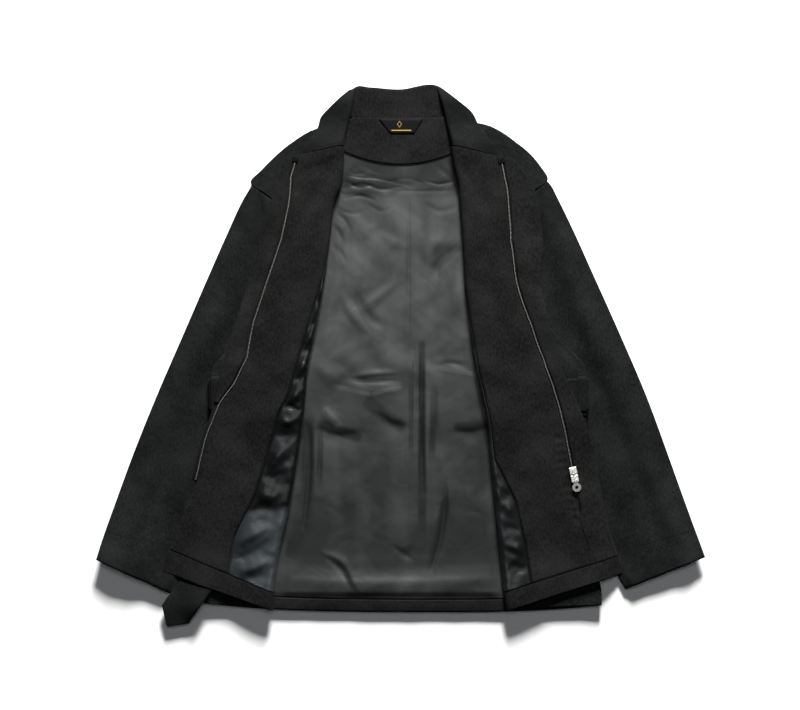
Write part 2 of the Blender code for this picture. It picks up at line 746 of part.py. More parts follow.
def build_pull_tab(parent, collection, material):
    """Pull tab: a bar through the bridge, a window and a round ring, cut from one plate."""
    curve = bpy.data.curves.new("pull_tab", "CURVE")
    curve.dimensions = "2D"
    curve.fill_mode = "BOTH"
    curve.extrude = TAB_WALL / 2
    half_bar = TAB_BAR / 2
    join = math.acos(TAB_NECK / 2 / TAB_RING)
    turns = [join - (math.pi + 2 * join) * share for share in even(20)]
    ring = [(TAB_RING * math.cos(turn), TAB_RING_Y + TAB_RING * math.sin(turn)) for turn in turns]
    add_spline(curve, [(-TAB_NECK / 2, half_bar), (TAB_NECK / 2, half_bar), *ring])
    half_window = TAB_WINDOW[0] / 2
    low = -half_bar - TAB_WINDOW[1]
    corners = ((-half_window, low), (half_window, low), (half_window, -half_bar), (-half_window, -half_bar))
    add_spline(curve, corners)
    turns = [2 * math.pi * step / 16 for step in range(16)]
    hole = [(TAB_HOLE * math.cos(turn), TAB_RING_Y + TAB_HOLE * math.sin(turn)) for turn in turns]
    add_spline(curve, hole)
    made = bpy.data.objects.new("pull_tab", curve)
    curve.materials.append(material)
    collection.objects.link(made)
    made.parent = parent


def add_empty(name, place, turn, collection, parent=None):
    """An empty that carries pieces."""
    made = bpy.data.objects.new(name, None)
    made.location = place
    made.rotation_euler = turn
    made.parent = parent
    collection.objects.link(made)
    return made


def main():
    """Build the jacket."""
    clear_scene()
    jacket = bpy.data.collections.new("Safari jacket")
    cutters = bpy.data.collections.new("Cutters")
    for collection in (jacket, cutters):
        bpy.context.scene.collection.children.link(collection)
    outer = make_material("Charcoal twill", CHARCOAL, 0.9)
    inner = make_material("Charcoal twill inside", CHARCOAL_FACING, 0.9)
    satin = make_material("Grey satin", SATIN_GREY, 0.35)
    coil = make_material("Black coil", COIL_BLACK, 0.5)
    nickel = make_material("Nickel plate", NICKEL, 0.25, 1.0)
    label = make_material("Woven label", LABEL_GOLD, 0.7)

    build_back(jacket, outer)
    build_back_lining(jacket, satin)
    build_back_hem(jacket, inner)
    build_back_neck_facing(jacket, inner)
    build_neck_label(jacket, label)
    build_collar_back(jacket, inner)
    build_belt_back(jacket, outer)
    sides = (
        ("left", -1, LEFT_ROWS, LEFT_COLLAR, LEFT_SLEEVE, LEFT_ZIP_ROWS, LEFT_STRIP_ROWS, LEFT_BELT_PATH),
        ("right", 1, RIGHT_ROWS, RIGHT_COLLAR, RIGHT_SLEEVE, RIGHT_ZIP_ROWS, RIGHT_STRIP_ROWS,
         RIGHT_BELT_PATH),
    )
    for side, sign, rows, collar, sleeve, zip_rows, strip_rows, path in sides:
        build_front(side, rows, jacket, outer)
        build_front_lining(side, rows, jacket, satin)
        build_front_facing(side, rows, jacket, inner)
        build_front_hem(side, rows, jacket, inner)
        build_fly_strip(side, rows, strip_rows, jacket, inner)
        build_zip(side, rows, zip_rows, jacket, coil)
        build_collar_end(side, collar, jacket, inner)
        build_sleeve(side, sleeve, jacket, outer)
        build_belt_end(f"belt_end_{side}", sign, path, jacket, outer)
        build_belt_loop(side, sign, jacket, outer)

    seat = Vector(SLIDER_POINT)
    seat_z = upper_height(seat, ROLL_REACH)
    zip_end = add_empty("zip_end", (*seat, seat_z), (0, 0, SLIDER_TURN), jacket)
    build_slider("slider_lower", 0.0, zip_end, jacket, cutters, nickel)
    build_slider("slider_upper", SLIDER_PITCH, zip_end, jacket, cutters, nickel)
    tab_axis = add_empty("tab_axis", TAB_AXIS, (TAB_TILT, 0, 0), jacket, zip_end)
    build_pull_tab(tab_axis, jacket, nickel)


main()
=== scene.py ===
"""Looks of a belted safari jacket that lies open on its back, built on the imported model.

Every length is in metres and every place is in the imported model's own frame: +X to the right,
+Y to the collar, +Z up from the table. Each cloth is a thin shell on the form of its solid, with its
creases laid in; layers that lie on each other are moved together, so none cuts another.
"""

from __future__ import annotations

import logging
import math
from dataclasses import dataclass, field
from enum import Enum
from typing import Callable, Sequence

import bmesh
import bpy
import numpy as np
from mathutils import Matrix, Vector

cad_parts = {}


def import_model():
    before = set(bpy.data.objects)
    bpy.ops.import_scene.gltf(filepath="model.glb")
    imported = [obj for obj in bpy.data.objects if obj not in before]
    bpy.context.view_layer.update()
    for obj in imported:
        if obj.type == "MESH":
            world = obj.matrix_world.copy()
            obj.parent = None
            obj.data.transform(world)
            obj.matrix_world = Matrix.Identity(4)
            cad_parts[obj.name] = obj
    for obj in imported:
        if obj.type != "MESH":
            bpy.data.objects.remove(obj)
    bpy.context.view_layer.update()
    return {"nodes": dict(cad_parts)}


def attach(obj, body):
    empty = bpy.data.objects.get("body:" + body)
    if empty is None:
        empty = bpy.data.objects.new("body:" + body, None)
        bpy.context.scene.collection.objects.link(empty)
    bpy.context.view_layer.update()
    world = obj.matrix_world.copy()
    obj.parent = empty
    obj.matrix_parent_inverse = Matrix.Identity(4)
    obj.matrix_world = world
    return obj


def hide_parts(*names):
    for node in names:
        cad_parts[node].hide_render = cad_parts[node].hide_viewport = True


LOG = logging.getLogger("safari_jacket")
Array = np.ndarray
Point = tuple[float, float]
Vector3 = tuple[float, float, float]
Material = bpy.types.Material
Socket = bpy.types.NodeSocket
Inputs = dict[str | int, object]

MM = 0.001

# Grid steps of the shells
CLOTH_STEP = 4.0 * MM
ROLL_STEP = 1.6 * MM


class Side(Enum):
    """Which half of the jacket a piece belongs to, as it lies."""

    LEFT = "left"
    RIGHT = "right"


# ---- Colours, nodes and finishes ----


def linear(hex_colour: str) -> tuple[float, float, float, float]:
    """Turn an sRGB hex colour into linear RGBA.

    Args:
        hex_colour: The colour, such as "#262626".

    Returns:
        Linear red, green and blue, and 1 for opaque.
    """
    parts = [int(hex_colour[i:i + 2], 16) / 255 for i in (1, 3, 5)]
    red, green, blue = (p / 12.92 if p <= 0.04045 else ((p + 0.055) / 1.055) ** 2.4 for p in parts)
    return red, green, blue, 1.0


class Nodes:
    """The nodes of one material, with a short call for each kind that the finishes use."""

    def __init__(self, name: str) -> None:
        """Make an empty node material under the finish's real name."""
        self.material = bpy.data.materials.new(name)
        self.material.use_nodes = True
        self.tree = self.material.node_tree
        self.tree.nodes.clear()
        self.output = self.tree.nodes.new("ShaderNodeOutputMaterial")

    def add(self, kind: str, result: str | int, inputs: Inputs, **settings: object) -> Socket:
        """Add a node with its settings and links.

        Args:
            kind: The node's type, such as "Bump".
            result: The output that is wanted, by name or index.
            inputs: A value for each socket, or a socket to link to it.
            **settings: Properties of the node.

        Returns:
            The output.
        """
        node = self.tree.nodes.new(f"ShaderNode{kind}")
        for name, value in settings.items():
            setattr(node, name, value)
        for name, value in inputs.items():
            if isinstance(value, Socket):
                self.tree.links.new(value, node.inputs[name])
            else:
                node.inputs[name].default_value = value
        return node.outputs[result]

    def on_cloth(self) -> Socket:
        """Place on a cloth's own UV map, in metres."""
        return self.add("UVMap", "UV", {}, uv_map="cloth")

    def on_object(self) -> Socket:
        """Place in the object's own frame."""
        return self.add("TexCoord", "Object", {})

    def drawn(self, place: Socket, scale: Vector3 = (1.0, 1.0, 1.0), turn: float = 0.0) -> Socket:
        """Stretch a place and turn it in its own plane."""
        return self.add("Mapping", "Vector", {"Vector": place, "Scale": scale, "Rotation": (0.0, 0.0, turn)})

    def noise(self, place: Socket, scale: float, detail: float = 2.0, roughness: float = 0.5,
              distortion: float = 0.0) -> Socket:
        """Soft noise about 0.5 at a place."""
        return self.add("TexNoise", "Fac", {
            "Vector": place, "Scale": scale, "Detail": detail, "Roughness": roughness,
            "Distortion": distortion})

    def scaled(self, value: Socket | float, by: float, plus: Socket | float, clamp: bool = False) -> Socket:
        """Multiply a value, and add another to it."""
        inputs = {0: value, 1: by, 2: plus}
        return self.add("Math", "Value", inputs, operation="MULTIPLY_ADD", use_clamp=clamp)

    def ramp(self, value: Socket, start: float, end: float, first: float = 0.0, last: float = 1.0,
             kind: str = "LINEAR") -> Socket:
        """Run from the first to the last result while a value runs from start to end."""
        return self.add("MapRange", "Result", {
            "Value": value, "From Min": start, "From Max": end, "To Min": first, "To Max": last,
        }, interpolation_type=kind)

    def mix(self, share: Socket, first: str, last: str) -> Socket:
        """Mix two sRGB hex colours. A Mix node has its colours on sockets 6 and 7, and its result on 2."""
        return self.add("Mix", 2, {0: share, 6: linear(first), 7: linear(last)}, data_type="RGBA")

    def bump(self, height: Socket, strength: float, depth: float, over: Socket | None = None) -> Socket:
        """Turn a height into a normal, over another one if it is given."""
        inputs = {"Height": height, "Strength": strength, "Distance": depth}
        if over is not None:
            inputs["Normal"] = over
        return self.add("Bump", "Normal", inputs)

    def surface(self, inputs: Inputs) -> Material:
        """End the nodes in a Principled surface, and give the material."""
        self.tree.links.new(self.add("BsdfPrincipled", "BSDF", inputs), self.output.inputs["Surface"])
        return self.material


@dataclass(frozen=True)
class Twill:
    """Brushed cotton twill: a fine diagonal rib, matt, with slubs and a faint cloud of wear."""

    name: str
    colour: str
    worn: str
    rib: float = 1.3 * MM
    slant: float = 0.9
    roughness: float = 0.85
    sheen: float = 0.02
    sheen_tint: str = "#b9bdb8"
    bump: float = 0.25
    depth: float = 0.25 * MM
    slubs: float = 380.0
    slub_gain: float = 2.4
    slub_height: float = 0.6
    clouds: float = 12.0
    cloud_gain: float = 2.1
    base: float = -1.75

    def material(self) -> Material:
        """Build the cloth's material on its own UV map, in metres."""
        nodes = Nodes(self.name)
        place = nodes.on_cloth()
        rib = nodes.add("TexWave", "Fac", {
            "Vector": nodes.drawn(place, turn=self.slant), "Scale": 2 * math.pi / (20 * self.rib),
            "Distortion": 0.6, "Detail": 2.0, "Detail Scale": 3.0}, wave_profile="SIN")
        slub = nodes.noise(nodes.drawn(place, (1.0, 0.45, 1.0)), self.slubs, 3.0, 0.7)
        cloud = nodes.scaled(nodes.noise(place, self.clouds, 3.0, 0.6), self.cloud_gain, self.base)
        grain = nodes.scaled(slub, self.slub_gain, cloud, clamp=True)
        height = nodes.scaled(slub, self.slub_height, rib)
        return nodes.surface({
            "Base Color": nodes.mix(grain, self.colour, self.worn), "Roughness": self.roughness, "IOR": 1.45,
            "Specular IOR Level": 0.08, "Sheen Weight": self.sheen, "Sheen Roughness": 0.5,
            "Sheen Tint": linear(self.sheen_tint), "Normal": nodes.bump(height, self.bump, self.depth)})


@dataclass(frozen=True)
class Band:
    """A long soft fold painted darker or lighter, as painted shade or a painted highlight: its two ends in
    plan and its half width, in mm.

    `depth` is its most shade, `blur` the length in mm over which it starts and ends, and `even` the
    share of the half width that has the most shade.
    """

    start: Point
    end: Point
    half: float
    depth: float = 0.7
    blur: float = 14.0
    even: float = 0.2

    def shade(self, nodes: Nodes, place: Socket, before: Socket | float) -> Socket:
        """Join the fold's shade to the shade of what came before.

        Args:
            nodes: The material's nodes.
            place: The position on the piece.
            before: The shade so far, 0 to 1.

        Returns:
            The socket with the larger of the two at each place.
        """
        run = np.subtract(self.end, self.start)
        length = float(np.hypot(*run))
        ahead = run / length
        from_start = nodes.add("VectorMath", "Vector", {
            0: place, 1: (self.start[0] * MM, self.start[1] * MM, 0.0)}, operation="SUBTRACT")
        ways = ((float(ahead[0]), float(ahead[1]), 0.0), (-float(ahead[1]), float(ahead[0]), 0.0))
        along, off = (nodes.add("VectorMath", "Value", {0: from_start, 1: way}, operation="DOT_PRODUCT")
                      for way in ways)
        away = nodes.add("Math", "Value", {0: off}, operation="ABSOLUTE")
        held = nodes.ramp(away, self.half * self.even * MM, self.half * MM, self.depth, 0.0, "SMOOTHSTEP")
        for low, high, first in ((0.0, self.blur, 0.0), (length - self.blur, length, 1.0)):
            end = nodes.ramp(along, low * MM, high * MM, first, 1.0 - first, "SMOOTHSTEP")
            held = nodes.add("Math", "Value", {0: held, 1: end}, operation="MULTIPLY")
        return nodes.add("Math", "Value", {0: before, 1: held}, operation="MAXIMUM")


@dataclass(frozen=True)
class Satin:
    """Acetate satin lining: smooth long floats along the piece, so it is glossy across its creases.

    `shade` is painted shade: the Y at which it is darkest, the Y at which it is lightest, and the difference
    in tone. `bands` are folds with painted shade, `glints` folds with painted highlights, and `collar` the
    two Y between which painted shade from the collar darkens it and takes off some of its gloss.
    """

    name: str
    colour: str
    light: str
    roughness: float = 0.37
    thread: float = 0.6 * MM
    bump: float = 0.10
    depth: float = 0.1 * MM
    rumple: float = 0.42
    rumple_depth: float = 3.0 * MM
    shade: Vector3 = (0.0, 1.0, 0.0)
    bands: tuple[Band, ...] = ()
    glints: tuple[Band, ...] = ()
    base: float = -1.37
    cloud_gain: float = 2.0
    streak_gain: float = 1.6
    band_gain: float = -0.9
    glint_gain: float = 1.5
    gloss: float = 0.38
    band_gloss: float = -0.20
    collar: Point = (0.245, 0.272)

    def material(self) -> Material:
        """Build the lining's material on its own UV map, in metres."""
        nodes = Nodes(self.name)
        cloth, place = nodes.on_cloth(), nodes.on_object()
        y = nodes.add("SeparateXYZ", "Y", {"Vector": place})
        # Painted shade and light: darker towards one Y, along the `bands` and under the collar, with less
        # gloss there; lighter along the `glints`
        start, end, amount = self.shade
        tone = nodes.ramp(y, start, end, self.base - amount / 2, self.base + amount / 2)
        streak = nodes.noise(nodes.drawn(cloth, (19.0, 2.6, 1.0)), 1.0, 2.0, 0.45, 0.3)
        tone = nodes.scaled(streak, self.streak_gain, tone)
        dim, lit = nodes.ramp(y, *self.collar), 0.0
        for band in self.bands:
            dim = band.shade(nodes, place, dim)
        for band in self.glints:
            lit = band.shade(nodes, place, lit)
        tone = nodes.scaled(dim, self.band_gain, nodes.scaled(lit, self.glint_gain, tone))
        tone = nodes.scaled(nodes.noise(cloth, 11.0, 3.0, 0.55, 0.6), self.cloud_gain, tone, clamp=True)
        rumpled = nodes.bump(nodes.noise(cloth, 24.0, 2.5, 0.45, 0.5), self.rumple, self.rumple_depth)
        floats = nodes.noise(nodes.drawn(cloth, (1 / self.thread, 0.02 / self.thread, 1.0)), 1.0, 2.0, 0.6)
        return nodes.surface({
            "Base Color": nodes.mix(tone, self.colour, self.light), "Roughness": self.roughness, "IOR": 1.5,
            "Specular IOR Level": nodes.scaled(dim, self.band_gloss, self.gloss), "Sheen Weight": 0.02,
            "Sheen Roughness": 0.4, "Normal": nodes.bump(floats, self.bump, self.depth, rumpled)})


@dataclass(frozen=True)
class Plated:
    """Nickel plate, tumbled bright: mirror-like with fine handling marks."""

    name: str
    colour: str
    roughness: float = 0.22
    marks: float = 1800.0

    def material(self) -> Material:
        """Build the metal's material on Object coordinates."""
        nodes = Nodes(self.name)
        marks = nodes.noise(nodes.on_object(), self.marks, 3.0)
        rough = nodes.ramp(marks, 0.0, 1.0, self.roughness * 0.7, self.roughness * 1.5)
        return nodes.surface({"Base Color": linear(self.colour), "Metallic": 1.0, "Roughness": rough})


@dataclass(frozen=True)
class Thread:
    """Spun polyester sewing thread or woven tape: matt, with a short twist."""

    name: str
    colour: str
    dark: str
    twist: float = 0.5 * MM

    def material(self) -> Material:
        """Build the thread's material on Object coordinates."""
        nodes = Nodes(self.name)
        twist = nodes.noise(nodes.on_object(), 1 / self.twist)
        return nodes.surface({
            "Base Color": nodes.mix(twist, self.dark, self.colour), "Roughness": 0.8,
            "Specular IOR Level": 0.12, "Normal": nodes.bump(twist, 0.3, 0.1 * MM)})


@dataclass(frozen=True)
class Table:
    """White laminate table top, evenly matt."""

    name: str
    colour: str

    def material(self) -> Material:
        """Build the table's material on Object coordinates."""
        nodes = Nodes(self.name)
        rough = nodes.ramp(nodes.noise(nodes.on_object(), 3.0, 1.0), 0.0, 1.0, 0.85, 0.95)
        return nodes.surface({
            "Base Color": linear(self.colour), "Roughness": rough, "Specular IOR Level": 0.1})


OUTER = Twill("Brushed cotton twill, charcoal", "#060707", "#1b1d1d")
INNER = Twill("Brushed cotton twill inside, charcoal", "#060606", "#1b1c1b")
# A darker copy of the outer twill, painted shade: it keeps the collar's turned ends, the belt's ends and the
# belt loops as dark as the rest of the cloth
COLLAR_CLOTH = Twill("Brushed cotton twill, charcoal, painted_shade", "#050606", "#161717")
# The back's lining, with painted shade darker towards the hem, along its folds and under the collar, and
# painted highlights along the folds that catch the light
LINING = Satin("Acetate satin, grey", "#161717", "#343535", 0.47, shade=(-0.34, 0.16, 0.85), bands=(
    Band((33, 42), (34, -282), 9, 0.75, 45),
    Band((16, -24), (17, -160), 6, 0.45, 35),
    Band((53, -36), (48, -172), 9, 0.55, 40),
    Band((74, -212), (45, -328), 10, 0.7, 25),
    Band((-141, -90), (-145, -272), 12, 0.6, 35),
    Band((-141, -246), (-174, -314), 15, 0.6),
    Band((-123, -106), (-125, -212), 6, 0.35, 30),
    Band((-132, -100), (-56, -127), 12, 0.75),
    Band((-60, -63), (14, -116), 14, 0.6),
    Band((78, -109), (146, -106), 10, 0.85),
    Band((44, 134), (100, 178), 12, 0.6),
    Band((-14, -312), (27, -288), 8, 0.6),
), glints=(
    Band((-90, 97), (-46, 27), 9),
    Band((-60, 74), (-4, 114), 8),
    Band((-80, -37), (4, -41), 5, 0.8),
    Band((-104, -44), (-40, -59), 5, 0.6),
    Band((-50, -59), (6, -44), 5, 0.6),
    Band((40, -13), (120, -27), 5, 0.8),
    Band((-124, -76), (-88, -112), 9, 0.5),
))
# Two copies of one satin for the fronts' turned-back legs: the left one, lighter and lighter still towards
# its lower end, is painted light; the right one, darker all over, is painted shade
LEFT_LINING = Satin("Acetate satin, grey, painted_light", "#070808", "#2b2f32", 0.35, shade=(-0.225, -0.255, 1.0))
RIGHT_LINING = Satin("Acetate satin, grey, in shade", "#080909", "#1e2022", 0.36)
NICKEL = Plated("Nickel plate, bright", "#f0eee8", 0.42)
TEETH = Plated("Nickel plate on zip teeth", "#a09e98", 0.38)
THREAD = Thread("Spun polyester thread, black", "#0b0c0c", "#050505")
# Near-black thread for the bar tacks at the zips' tops: real bar tacks, and painted shadow for the dark
# notch there
TACK = Thread("Polyester thread, black", "#020202", "#010101")
TAPE = Thread("Woven polyester zip tape, black", "#0a0b0b", "#060606", 1.0 * MM)
LABEL_GROUND = Thread("Woven label ground, black", "#060606", "#030303", 0.4 * MM)
LABEL_GOLD = Thread("Woven label motif, old gold", "#c2a45f", "#8a7240", 0.4 * MM)
TABLE = Table("White laminate table top", "#f4f4f4")


# ---- Heights of the layers, as the solids have them ----


def smooth(share: Array | float) -> Array:
    """Run from 0 to 1 with level ends, for a share or an array of them."""
    share = np.clip(share, 0.0, 1.0)
    return share * share * (3 - 2 * share)


def outside(plan: Array, outline: Array) -> Array:
    """Measure how far points lie outside a closed outline.

    Args:
        plan: Points in plan, with X and Y on the last axis.
        outline: Corners of the outline in order.

    Returns:
        The distance of each point, 0 inside.
    """
    x, y = plan[..., 0], plan[..., 1]
    inside = np.zeros(x.shape, bool)
    nearest = np.full(x.shape, np.inf)
    for start, end in zip(outline, np.roll(outline, -1, axis=0)):
        side = end - start
        off_x, off_y = x - start[0], y - start[1]
        along = np.clip((off_x * side[0] + off_y * side[1]) / side.dot(side), 0, 1)
        nearest = np.minimum(nearest, np.hypot(off_x - along * side[0], off_y - along * side[1]))
        if start[1] != end[1]:
            crosses = (start[1] > y) != (end[1] > y)
            inside ^= crosses & (x < start[0] + off_y / (end[1] - start[1]) * side[0])
    return np.where(inside, 0.0, nearest)


def at_height(plan: Array, height: Array) -> Array:
    """Put points in plan at their heights."""
    return np.concatenate([plan, height[..., None]], -1)


def unit(vectors: Array) -> Array:
    """Scale vectors to length 1."""
    return vectors / np.linalg.norm(vectors, axis=-1, keepdims=True)


def curve(table: Sequence[Sequence[float]], count: Array | int) -> Array:
    """Run a smooth curve through a table's rows.

    Args:
        table: Rows of numbers, a point on the curve each.
        count: How many evenly spread places to give, or the places themselves in rows.

    Returns:
        A row of numbers for each place.
    """
    rows = np.array(table, float)
    places = np.linspace(0, len(rows) - 1, count) if isinstance(count, int) else np.asarray(count)
    index = np.clip(places.astype(int), 0, len(rows) - 2)
    t = (places - index)[:, None]
    padded = np.vstack([2 * rows[:1] - rows[1:2], rows, 2 * rows[-1:] - rows[-2:-1]])
    before, start, end, after = (padded[index + step] for step in range(4))
    leave, arrive = (end - before) / 2, (after - start) / 2
    return (start * (2 * t ** 3 - 3 * t ** 2 + 1) + leave * (t ** 3 - 2 * t ** 2 + t)
            + end * (3 * t ** 2 - 2 * t ** 3) + arrive * (t ** 3 - t ** 2))


def millimetres(*rows: Sequence[float]) -> Array:
    """Write a table in millimetres, for metres."""
    return np.array(rows) * MM


@dataclass(frozen=True)
class FrontCut:
    """Levels of one front from the neck to the hem.

    Columns: side seam x, y; fold x, y; free edge x, y; zip from the free edge; lining past the fold.
    """

    side: Side
    levels: Array
    zip_end: int
    strip_end: int
    hem: int = 14


LEFT_CUT = FrontCut(Side.LEFT, millimetres(
    (-138, 351, -89, 324.5, -179, 308, 18, 0), (-178, 324.5, -90, 309, -183, 294, 20, 0),
    (-215, 289, -91, 287, -189, 275, 20, 0), (-231, 268, -95, 262, -196, 252, 26, 0),
    (-199, 243, -105, 236, -203, 229, 30, 0), (-181, 189, -111, 182, -217, 180, 33, 2),
    (-199, 104, -120, 112, -234, 118, 28, 7), (-246, 34, -133, 42, -254, 55, 27, 15),
    (-290, -17, -144, -14, -269, 5, 33, 20), (-291, -59, -148, -59, -280, -35, 25, 28),
    (-291, -97, -152, -97, -287, -70, 8, 41), (-297, -159, -161, -159, -305, -126, 4, 49),
    (-300, -229, -173, -229, -320, -188, 4, 58), (-301, -299, -189, -299, -339, -251, 0, 74),
    (-302, -347, -197, -361, -357, -296.5, 0, 78), (-303, -380, -199, -389, -368, -331, 0, 78),
), zip_end=12, strip_end=10)
RIGHT_CUT = FrontCut(Side.RIGHT, millimetres(
    (138, 358.5, 80.5, 324.5, 176, 304, 22, 0), (190.5, 323.5, 83, 309, 187, 290, 30, 0),
    (218, 293, 87, 287, 202, 270, 42, 0), (227, 272, 93, 262, 210, 248, 45, 0),
    (201, 250, 95, 236, 214, 224, 47, 0), (181, 189, 99, 182, 221, 176, 51, 0),
    (195, 104, 103, 112, 218, 113, 38, 0), (241, 34, 111, 42, 228, 51, 26, 4),
    (285, -14, 119, -14, 240, 1, 20, 5), (286, -59, 128, -59, 258, -39, 24, 6),
    (287, -97, 136, -97, 274, -74, 29, 6), (294, -159, 142, -159, 295, -129, 38, 7),
    (299, -229, 149, -229, 307, -192, 39, 33), (304, -299, 156, -299, 319, -254, 39, 42),
    (308, -347, 162, -360, 336, -306, 36, 46), (311, -383, 167, -389, 343, -334, 0, 52),
), zip_end=12, strip_end=14)

# Sleeves laid flat, shoulder to cuff: outer edge x, y; inner edge x, y
LEFT_SLEEVE = millimetres(
    (-215, 281, -186, 252), (-230, 264, -196, 236), (-247, 236, -164, 189), (-265.5, 197, -146, 120),
    (-293, 135, -143, 41), (-335, 38, -180, -20), (-377, -59, -221, -101), (-417, -159, -263, -190),
    (-453, -261, -311, -290), (-468.5, -312, -354, -366),
)
RIGHT_SLEEVE = millimetres(
    (211, 284, 185, 256), (230.5, 268, 194, 240), (243, 246, 161, 189), (267.5, 197, 145, 120),
    (295.5, 135, 140, 41), (339, 38, 176, -20), (380.5, -59, 216, -101), (414.8, -152, 257, -190),
    (447.5, -245, 305, -285), (470, -308.5, 348, -358.5),
)


@dataclass(frozen=True)
class Layers:
    """Heights at which the jacket's layers lie, over its sleeves and its belt."""

    back: float = 0.75 * MM
    lining: float = 2.8 * MM
    back_hem: float = 3.05 * MM
    neck_facing: float = 4.3 * MM
    label: float = 5.7 * MM
    label_motif: float = 6.2 * MM
    front_lower: float = 6.8 * MM
    belt_end: float = 9.2 * MM
    loop: float = 10.9 * MM
    loop_end: float = 8.6 * MM
    front_upper: float = 13.1 * MM
    sleeve_lift: float = 3.9 * MM
    sleeve_ramp: float = 90 * MM
    belt_lift: float = 2.3 * MM
    belt_y: float = -57.5 * MM
    belt_flat: float = 30 * MM
    belt_ramp: float = 50 * MM
    overhang_ramp: float = 45 * MM
    overhang: float = 1.4 * MM
    hem_over_belt: float = 3.2 * MM
    roll_rise: float = 5 * MM
    roll_reach: float = 70 * MM
    hem_lift: float = 7 * MM
    hem_y: float = -0.300
    hem_reach: float = 0.085
    belt_side_y: float = -0.18
    belt_side_reach: float = 0.08
    neck: tuple[Point, Point] = ((0.064, 0.415), (-0.078, 0.415))

    def sleeves(self, plan: Array) -> Array:
        """Height of what lies over the tucked sleeves, for points in plan."""
        lift = np.zeros(plan.shape[:-1])
        for rows in (LEFT_SLEEVE, RIGHT_SLEEVE):
            outline = np.vstack([rows[:, :2], rows[::-1, 2:]])
            lift = np.maximum(lift, 1 - smooth(outside(plan, outline) / self.sleeve_ramp))
        return self.sleeve_lift * lift

    def over_body(self, plan: Array) -> Array:
        """Share of the body's stack under points in plan, falling to 0 past its sides."""
        left, right = LEFT_CUT.levels[:, :2], RIGHT_CUT.levels[::-1, :2]
        outline = np.vstack([left, right, self.neck])
        return 1 - smooth(outside(plan, outline) / self.overhang_ramp)

    def body(self, plan: Array) -> Array:
        """Height of the back's underside for points in plan."""
        belt = 1 - smooth((np.abs(plan[..., 1] - self.belt_y) - self.belt_flat) / self.belt_ramp)
        hem = self.hem_lift * smooth((self.hem_y - plan[..., 1]) / self.hem_reach)
        return self.sleeves(plan) + (self.belt_lift * belt + hem) * self.over_body(plan)

    def upper(self, plan: Array, from_fold: Array) -> Array:
        """Middle of a front's turned-back leg for points in plan and their distances from the fold."""
        share = self.over_body(plan)
        past = smooth((self.belt_side_y - plan[..., 1]) / self.belt_side_reach)
        hem = np.where(plan[..., 0] < 0, self.hem_over_belt * past, 0.0)
        roll = self.roll_rise * (1 - smooth(from_fold / self.roll_reach))
        return self.body(plan) + roll + self.front_upper * share + (self.overhang + hem) * (1 - share)


LAYERS = Layers()


# ---- Creases ----


@dataclass(frozen=True)
class Crease:
    """One soft trough or ridge: its course in plan, its height (below 0 for a trough) and half width.

    The crease fades towards both ends, and `skew` makes one flank steeper than the other.
    """

    course: tuple[Point, ...]
    height: float
    width: float
    skew: float = 0.0

    def raise_at(self, plan: Array) -> Array:
        """Height that the crease adds at points in plan."""
        line = curve(self.course, 4 * len(self.course)) if len(self.course) > 2 else np.array(self.course)
        lengths = np.concatenate([[0], np.cumsum(np.hypot(*np.diff(line, axis=0).T))])
        nearest = np.full(plan.shape[:-1], np.inf)
        side_of = np.zeros(plan.shape[:-1])
        share = np.zeros(plan.shape[:-1])
        for index, (start, end) in enumerate(zip(line, line[1:])):
            step = end - start
            away = plan - start
            along = np.clip((away @ step) / step.dot(step), 0, 1)
            gap = np.hypot(*(away - along[..., None] * step).transpose(-1, *range(plan.ndim - 1)))
            closer = gap < nearest
            nearest = np.where(closer, gap, nearest)
            cross = np.sign(step[0] * away[..., 1] - step[1] * away[..., 0])
            side_of = np.where(closer, cross, side_of)
            place = (lengths[index] + along * math.hypot(*step)) / lengths[-1]
            share = np.where(closer, place, share)
        fade = np.sin(np.pi * np.clip(share, 0.0, 1.0) * 0.92 + 0.04 * np.pi) ** 0.7
        reach = self.width * (0.6 + 0.4 * fade) * (1 + self.skew * side_of)
        return self.height * fade * np.exp(-(nearest / reach) ** 2)


def creased(plan: Array, creases: Sequence[Crease]) -> Array:
    """Add up creases at points in plan."""
    total = np.zeros(plan.shape[:-1])
    for crease in creases:
        total = total + crease.raise_at(plan)
    return total


def ripple(plan: Array, pitch: float, seed: float) -> Array:
    """Give an uneven soft wave between -1 and 1, of about the given pitch.

    Args:
        plan: Points in plan.
        pitch: Distance between crests.
        seed: Shifts the pattern.

    Returns:
        The wave at each point.
    """
    x, y = plan[..., 0] / pitch * 2 * math.pi, plan[..., 1] / pitch * 2 * math.pi
    return (np.sin(x * 0.83 + 1.7 * np.sin(y * 0.41 + seed) + seed)
            * np.cos(y * 0.77 + 1.3 * np.sin(x * 0.37 + 2 * seed)) * 0.6
            + np.sin(x * 0.31 - y * 0.52 + 3 * seed) * 0.4)


# ---- Shells and stitches ----


def lengths_along(points: Array) -> Array:
    """Distance travelled at each of a line's points, from 0."""
    return np.concatenate([[0.0], np.cumsum(np.linalg.norm(np.diff(points, axis=0), axis=1))])


def grid_area(grid: Array) -> float:
    """Area of a grid of points as a surface."""
    a, b, c, d = grid[:-1, :-1], grid[1:, :-1], grid[1:, 1:], grid[:-1, 1:]
    first = np.linalg.norm(np.cross(b - a, c - a), axis=-1)
    second = np.linalg.norm(np.cross(c - a, d - a), axis=-1)
    return float((first.sum() + second.sum()) / 2)


def finish_mesh(name: str, mesh: bpy.types.Mesh, material: Material) -> bpy.types.Object:
    """Put a mesh in the scene with its material, shaded smooth but for its rims."""
    made = bpy.data.objects.new(name, mesh)
    bpy.context.scene.collection.objects.link(made)
    mesh.materials.append(material)
    bpy.ops.object.select_all(action="DESELECT")
    made.select_set(True)
    bpy.context.view_layer.objects.active = made
    bpy.ops.object.shade_smooth_by_angle(angle=math.radians(50))
    return made


